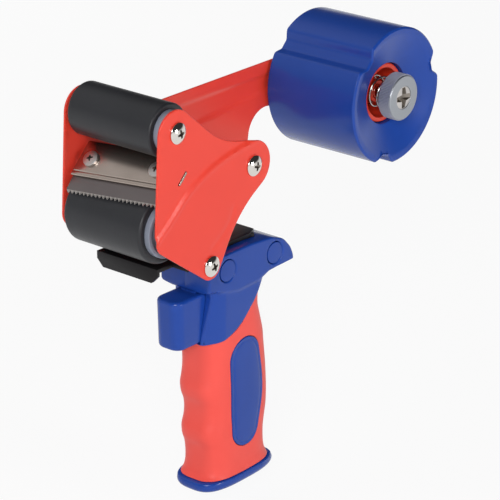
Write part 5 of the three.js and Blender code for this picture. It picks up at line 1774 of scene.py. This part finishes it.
    def shell_outline(self) -> Loop:
        """Side view of the blue handle, down to the sleeve."""
        start, *others = self.block
        line = curve_through(self.sleeve_top[:-1])
        low, high = self.seam_ends
        seam = [(x, z + self.seam_lift) for x, z in line if low < x < high]
        return fillet([start, *self.neck_front, *seam, self.neck_rear, *others])

    def shells(self) -> None:
        """Makes the two blue halves."""
        outline = self.shell_outline()
        holes = [circle(x, z, self.plug + self.plug_gap, 64) for _, x, z in self.bolts]
        inner = level(self.seam_gap)
        for name, side in SIDES:
            sheet = Sheet(outline, self.neck_half, inner, side, holes, 1.1, 0.04, 1.1)
            shell = formed(f"handle_half_{name}", sheet.form())
            carve(shell, *(slab(flat, -half, half, 0.0) for flat, half in self.hollow))
            place_piece(shell, [f"handle_shell_{name}"])

    def plugs(self) -> None:
        """Makes the four round plugs over the handle bolts."""
        face = self.block_half - self.plug_sink
        foot = face - self.plug_depth
        section = fillet(
            [(0.0, foot), (self.plug, foot, 0.1), (self.plug, face, 0.25), (0.0, face)], closed=False
        )
        for key, x, z in self.bolts:
            for name, side in SIDES:
                form = turned(section * (1, side), (x, z), 64, closed=False)
                piece(f"plug_{name}_{key}", form, [f"{name}_plug_{key}"])

    def trigger(self) -> None:
        """Makes the trigger: a pad with rounded front corners, a shoulder and a lug."""
        front, half, back = self.trigger_front, self.trigger_half, self.trigger_back
        round_ = self.trigger_corner
        plan = fillet([(front, -half, round_), (back, -half), (back, half), (front, half, round_)], step=5)
        tall = self.trigger_top - self.trigger_bottom
        end, fade = self.pad_fade
        rings = []
        for by, depth in rounded_profile(tall, 2.0, 6):
            ring = inset(plan, by)
            share = depth / tall
            dent = self.finger_dent * math.sin(math.pi * share) if 0.02 < share < 0.98 else 0.0
            lean = self.foot_lean * (1 - share) ** 2
            forward = np.clip((end - ring[:, 0]) / fade, 0, 1)
            x = ring[:, 0] + (dent + lean) * forward
            rings.append(np.stack([x, ring[:, 1], np.full(len(ring), self.trigger_bottom + depth)], 1))
        boxes = ((self.shoulder, self.shoulder_half), (self.lug, self.lug_half))
        thing = formed("trigger_pad", solid(rings))
        welds = [slab(box_outline(*box), -half, half, 0.3) for box, half in boxes]
        carve(thing, *welds, way=Shaping.WELD)
        pocket = turned(rod_section(5.0, -12.2, 3.0, 0.0), sides=48, closed=False)
        carve(thing, pocket.moved(lambda p: p[:, (1, 0, 2)] + self.spring_seat))
        place_piece(thing, ["trigger"])

    def build(self, coils: Repeater) -> None:
        """Makes the handle."""
        self.shells()
        self.sleeve()
        self.inlays()
        self.cap()
        self.plugs()
        self.trigger()
        self.return_spring.build(coils, "return_spring", "trigger_spring", "trigger")


# ---- Tape hub


@dataclass
class TapeHub:
    """The braked hub that carries the roll.

    Attributes:
        dish: Depth of the near face's dish.
        rim: Thickness of the drum's skin round its open ends.
        wall: Thickness of the skin elsewhere.
        bore: Radius of the bore round the brake cup.
        grooves: Place of each axial groove in degrees.
        groove_half: Half the width of a groove.
        groove_flat: Share of that half which is the groove's floor.
        ridge_depth: Depth of the knurl.
        recess: Radius of the recess in the knob.
        socket: Radius of the bores that fit round the spindle.
    """

    at: Pair = (177.5, -25.9)
    radius: float = 37.5
    ends: Pair = (-29.9, 29.4)
    dish: float = 7.4
    rim: float = 1.2
    wall: float = 4.0
    bore: float = 16.8
    groove_depth: float = 4.4
    groove_half: float = 8.4
    groove_flat: float = 0.3
    face_spacing: float = 1.5
    sides: int = 320
    grooves: Triple = (16.5, 136.0, 255.5)
    knob_radius: float = 12.7
    knob_front: float = -34.7
    knob_rear: float = -26.4
    knob_ridges: int = 92
    ridge_depth: float = 0.9
    ridge_ends: float = 0.75
    ridge_share: Pair = (0.92, 0.18)  # foot of a ridge over the pitch, and its top over its foot
    recess: float = 6.3
    socket: float = 4.35
    cup_near: float = -20.7
    cup_inner: float = 13.6
    spring: Coil = Coil(8.3, 1.2, 4.0, (177.5, -26.1, -25.9), (177.5, -4.6, -25.9))

    def groove(self, angle: np.ndarray) -> np.ndarray:
        """Depth of the axial grooves at each place round the drum."""
        depth = np.zeros(len(angle))
        for degrees in self.grooves:
            away = (angle - math.radians(degrees) + math.pi) % (2 * math.pi) - math.pi
            share = np.abs(away) * self.radius / self.groove_half
            side = smooth((share - self.groove_flat) / (1 - self.groove_flat))
            depth = np.maximum(depth, self.groove_depth * (1 - side))
        return depth

    def face_end(self) -> float:
        """Y just behind the dish of the near face."""
        return self.ends[0] + self.dish + 0.1

    def with_face_rings(self, section: Loop) -> Loop:
        """Adds points to the section's near face, so that the grooves end near its rim."""
        made = []
        for a, b in zip(section, np.roll(section, -1, 0)):
            on_face = max(a[1], b[1]) < self.face_end() and min(a[0], b[0]) > self.bore - 0.1
            count = max(1, round(abs(b[0] - a[0]) / self.face_spacing)) if on_face else 1
            made.extend(a + (b - a) * k / count for k in range(count))
        return np.array(made)

    def drum(self) -> None:
        """Makes the drum."""
        near, far = self.ends
        r = self.radius
        section = fillet(
            [
                (self.bore, -2.0, 0.3), (self.bore, near + self.dish, 0.5), (r - 3.8, near + 0.55, 6.0),
                (r - 1.0, near, 0.5), (r, near + 0.9, 0.5), (r, far, 0.8), (13.5, far, 0.4),
                (13.5, 28.2, 0.3), (self.socket, 28.2, 0.2), (self.socket, 17.2, 0.3), (8.35, 17.2, 0.4),
                (8.35, 25.2, 0.6), (31.5, 25.2, 1.0), (31.5, near + 4.4, 1.0),
                (18.8, near + self.dish + 3.4, 1.0), (18.8, 0.0, 0.5), (self.socket, 0.0, 0.2),
                (self.socket, -2.0, 0.2),
            ],
            step=12,
        )
        depth = self.groove(round_angles(self.sides))
        rings = []
        for radius, y in self.with_face_rings(section):
            if radius > r - self.rim:
                reach = radius - depth
            else:
                wall = self.rim if y < self.face_end() else self.wall
                reach = np.minimum(radius, r - wall - depth)
            rings.append(lifted(circle(*self.at, reach, self.sides), y))
        piece("tape_drum", ring_form(rings), ["hub_drum"])

    def brake(self, coils: Repeater, rings: Repeater) -> None:
        """Makes the cup, spring, nut, knob and knob screw."""
        cup = fillet(
            [
                (self.cup_inner, self.cup_near, 0.5), (16.3, self.cup_near, 0.9), (16.3, -2.3, 0.4),
                (4.3, -2.3, 0.1), (4.3, -17.0, 0.1), (6.0, -17.0, 0.4), (6.0, -4.3, 0.5),
                (self.cup_inner, -4.3, 0.8),
            ]
        )
        piece("brake_cup_ring", turned(cup, self.at, 128), ["brake_cup"])
        self.spring.build(coils, "pressure_spring", "brake_spring")
        self.nut("thin_nut", 12.0, self.knob_rear + 0.3, self.knob_rear + 3.9, ["lock_nut"])
        front, rear, r = self.knob_front, self.knob_rear, self.knob_radius
        body = fillet(
            [
                (self.socket, rear, 0.1), (self.socket, front + 2.4, 0.1), (self.recess, front + 1.6, 0.2),
                (self.recess, front, 0.12), (r - 0.5, front, 0.7), (r - 0.5, rear, 0.7),
            ]
        )
        knob = formed("knurled_knob", turned(body, self.at, 128), ZINC)
        join_into(knob, self.knurl(rings))
        place_piece(knob, ["brake_knob"])
        self.knob_screw()

    def knurl(self, rings: Repeater) -> bpy.types.Object:
        """The ring of fine ridges round the knob."""
        front, rear = self.knob_front + self.ridge_ends, self.knob_rear - self.ridge_ends
        r, (wide, slim) = self.knob_radius, self.ridge_share
        half, foot = math.pi * r / self.knob_ridges * wide, r - self.ridge_depth
        ridge = np.array([(foot, -half), (r, -half * slim), (r, half * slim), (foot, half)])
        thing = formed("knurl", solid([lifted(ridge, y) + GRIP_MIDDLE for y in (front, rear)]))
        rings.run(thing, {"Finish": KNURLED_ZINC.material(), "Count": self.knob_ridges})
        middle = to_metres((self.at[0], 0.0, self.at[1]))
        thing.data.transform(Matrix.Translation(Vector(middle)))
        return thing

    def knob_screw(self) -> None:
        """Makes the bright screw in the knob's recess, with a cross in it."""
        front, rear, radius = self.knob_front, self.knob_front + 2.2, self.recess - 0.06
        crown = front - 0.1
        outline = fillet(
            [
                (0.0, rear), (radius, rear, 0.1), (radius, front + 0.3, 0.15), (3.0, crown, 3.0),
                (0.0, crown),
            ],
            closed=False,
        )
        thing = formed("recess_screw", turned(outline, self.at, 64, closed=False), ZINC_PLATE)
        cross = PanHeadScrew(6.0, 2.8, 2.0, 2.0, 13.4).cross()
        x, z = self.at
        cross.moved(lambda p: np.stack([x + p[:, 0], front + 2.7 - p[:, 2], z + p[:, 1]], 1))
        # The cross's cut faces get the darker finish, a painted shade in the recess.
        carve(thing, cross, raw=RECESS_SHADE)
        place_piece(thing, ["knob_screw"])

    def nut(self, name: str, flats: float, y0: float, y1: float, nodes: list[str]) -> None:
        """Makes a hexagon nut with rounded edges and a bore.

        Args:
            name: The piece's name.
            flats: Distance between two flats.
            y0: Y of one face.
            y1: Y of the other, on the same side of the middle plane.
            nodes: Its CAD nodes.
        """
        hexagon = circle(*self.at, flats / math.sqrt(3), 6)
        outline = spaced(fillet([(x, z, 0.9) for x, z in hexagon]), 2.0)
        inner, outer = sorted((abs(y0), abs(y1)))
        side = 1 if y0 > 0 else -1
        bore = circle(*self.at, 4.3, 32)
        sheet = Sheet(outline, level(outer), level(inner), side, [bore], 0.45, 0.45, 1.5)
        piece(name, sheet.form(), nodes)

    def axle(self) -> None:
        """Makes the spindle, its outer nut and the felt washer."""
        spindle = fillet(
            [
                (0.0, -32.0), (4.0, -32.0, 0.5), (4.0, 28.5, 0.1), (7.0, 28.5, 0.3), (7.0, 30.5, 0.3),
                (4.0, 30.5, 0.1), (4.0, 39.0, 0.6), (0.0, 39.0),
            ],
            closed=False,
        )
        piece("spindle", turned(spindle, self.at, 48, closed=False), ["hub_spindle"])
        self.nut("outer_nut", 13.0, 32.3, 37.3, ["spindle_nut"])
        washer = rounded_box((7.3, 12.5), (28.5, 30.5), (0.2, 0.3))
        piece("felt_washer", turned(washer, self.at, 64), ["friction_washer"])

    def build(self, coils: Repeater, rings: Repeater) -> None:
        """Makes the hub."""
        self.drum()
        self.brake(coils, rings)
        self.axle()


# ---- Studio


@dataclass(frozen=True)
class Lamp:
    """A square area lamp aimed at the object."""

    name: str
    place: Triple
    size: float
    power: float
    mirrored: bool = False  # whether bright metal shows it


@dataclass
class Studio:
    """Floor, lamps, sky and camera.

    Attributes:
        right, up, back: The camera's three directions.
        floor_drop: How far the floor lies below the object.
        floor_glow: Share of the floor's own light where the eye or bright metal sees it.
        dome_low: Brightness of the sky at the horizon and overhead.
        dome_turn: Share of the height over which it fades.
        patch_way: Direction of the bright patch of sky behind the object.
        patch: Where the patch starts and ends, as the cosine of the angle from its middle.
        patch_light: Brightness outside the patch and in its middle.
    """

    lens: float = 180.0
    camera_place: Triple = (-0.91417, -0.79801, 0.55774)
    right: Triple = (0.6490, -0.7608, 0.0)
    up: Triple = (0.2812, 0.2399, 0.9292)
    back: Triple = (-0.70696, -0.60300, 0.36959)
    floor_half: float = 6.0
    floor_drop: float = 0.02
    floor_glow: float = 0.9
    dome_low: Pair = (0.9, 0.04)
    dome_turn: float = 0.2
    patch_way: Triple = (-0.37, 0.6, 0.705)
    patch: Pair = (0.6, 0.95)
    patch_light: Pair = (0.04, 0.7)
    lamps: tuple[Lamp, ...] = (
        Lamp("key", (-1.3, -1.0, 0.85), 0.6, 18.0, True),
        Lamp("front_strip", (0.1, -1.6, 0.35), 0.4, 7.5, True),
        Lamp("rear_fill", (0.6, 1.4, 0.9), 1.2, 8.0),
    )

    def camera(self) -> None:
        """Sets the scene's camera."""
        data = bpy.data.cameras.new("camera")
        data.lens = self.lens
        data.clip_start = 0.01
        made = new_object("camera", data)
        turn = Matrix((self.right, self.up, self.back)).transposed().to_4x4()
        made.matrix_world = Matrix.Translation(Vector(self.camera_place)) @ turn
        bpy.context.scene.camera = made

    def floor(self) -> None:
        """A pale floor that keeps the shadow but shows nearly white."""
        low = CAD_BOX[0].z - self.floor_drop
        data = bpy.data.meshes.new("floor")
        half = self.floor_half
        corners = [(x, y, low) for x, y in box_outline(-half, half, -half, half).tolist()]
        data.from_pydata(corners, [], [(0, 1, 2, 3)])
        made = new_object("floor", data)
        material = bpy.data.materials.new("pale_floor")
        tree = new_tree(material)
        path = add_node(tree, "ShaderNodeLightPath").outputs
        seen: object = path["Is Camera Ray"]
        for ray in ("Is Glossy Ray", "Is Transmission Ray"):
            seen = add_node(tree, "ShaderNodeMath", {0: seen, 1: path[ray]}, operation="ADD", use_clamp=True)
        plain = add_node(tree, "ShaderNodeBsdfDiffuse", {"Color": linear("#F4F4F4")})
        glow = add_node(tree, "ShaderNodeEmission", {"Color": (1, 1, 1, 1), "Strength": 1.0})
        both = add_node(tree, "ShaderNodeMixShader", {"Fac": self.floor_glow, 1: plain, 2: glow})
        mixed = add_node(tree, "ShaderNodeMixShader", {"Fac": seen, 1: plain, 2: both})
        add_node(tree, "ShaderNodeOutputMaterial", {"Surface": mixed})
        data.materials.append(material)

    def sky(self) -> None:
        """White behind the object; a soft dome for its light, dark overhead on the near side."""
        world = bpy.data.worlds.new("studio")
        tree = new_tree(world)
        path = add_node(tree, "ShaderNodeLightPath")
        way = add_node(tree, "ShaderNodeTexCoord").outputs["Generated"]
        height = add_node(tree, "ShaderNodeSeparateXYZ", {0: way}).outputs["Z"]
        aside = add_node(tree, "ShaderNodeVectorMath", {0: way, 1: self.patch_way}, operation="DOT_PRODUCT")
        soft_step = {"interpolation_type": "SMOOTHSTEP"}
        low = ranged(tree, height, (0.0, self.dome_turn), self.dome_low, **soft_step)
        behind = ranged(tree, aside.outputs["Value"], self.patch, self.patch_light, **soft_step)
        dome = add_node(tree, "ShaderNodeMath", {0: low, 1: behind}, operation="MAXIMUM")
        soft = add_node(tree, "ShaderNodeBackground", {"Color": (1, 1, 1, 1), "Strength": dome})
        white = add_node(tree, "ShaderNodeBackground", {"Color": (1, 1, 1, 1), "Strength": 1.0})
        seen = path.outputs["Is Camera Ray"]
        mixed = add_node(tree, "ShaderNodeMixShader", {"Fac": seen, 1: soft, 2: white})
        add_node(tree, "ShaderNodeOutputWorld", {"Surface": mixed})
        bpy.context.scene.world = world

    def build(self) -> None:
        """Sets up the studio."""
        self.camera()
        self.floor()
        self.sky()
        for lamp in self.lamps:
            data = bpy.data.lights.new(lamp.name, "AREA")
            data.size = lamp.size
            data.energy = lamp.power
            made = new_object(lamp.name, data)
            made.location = lamp.place
            made.visible_glossy = lamp.mirrored
            made.rotation_euler = (-Vector(lamp.place)).to_track_quat("-Z", "Y").to_euler()
        bpy.context.scene.view_settings.view_transform = "Standard"


def dress_hidden_nodes() -> None:
    """Gives every CAD node that still shows the material of its slot."""
    for name, thing in frame["nodes"].items():
        if not thing.hide_render:
            dress(thing, SLOT_FINISH[NODE_SLOT[name]])
            log.info("%s: CAD node kept", name)


def main() -> None:
    """Builds the studio and every sub-assembly, then dresses the CAD nodes still shown."""
    logging.basicConfig(level=logging.INFO, format="%(name)s %(message)s")
    Studio().build()
    screws, rows, rings, coils = scatter_tree(), row_tree(), ring_tree(), coil_tree()
    SideFrame().build(screws)
    RollerSet().build(coils)
    BladeUnit().build(screws, rows)
    PistolGrip().build(coils)
    TapeHub().build(coils, rings)
    dress_hidden_nodes()
    bpy.context.view_layer.update()


if __name__ == "__main__":
    main()
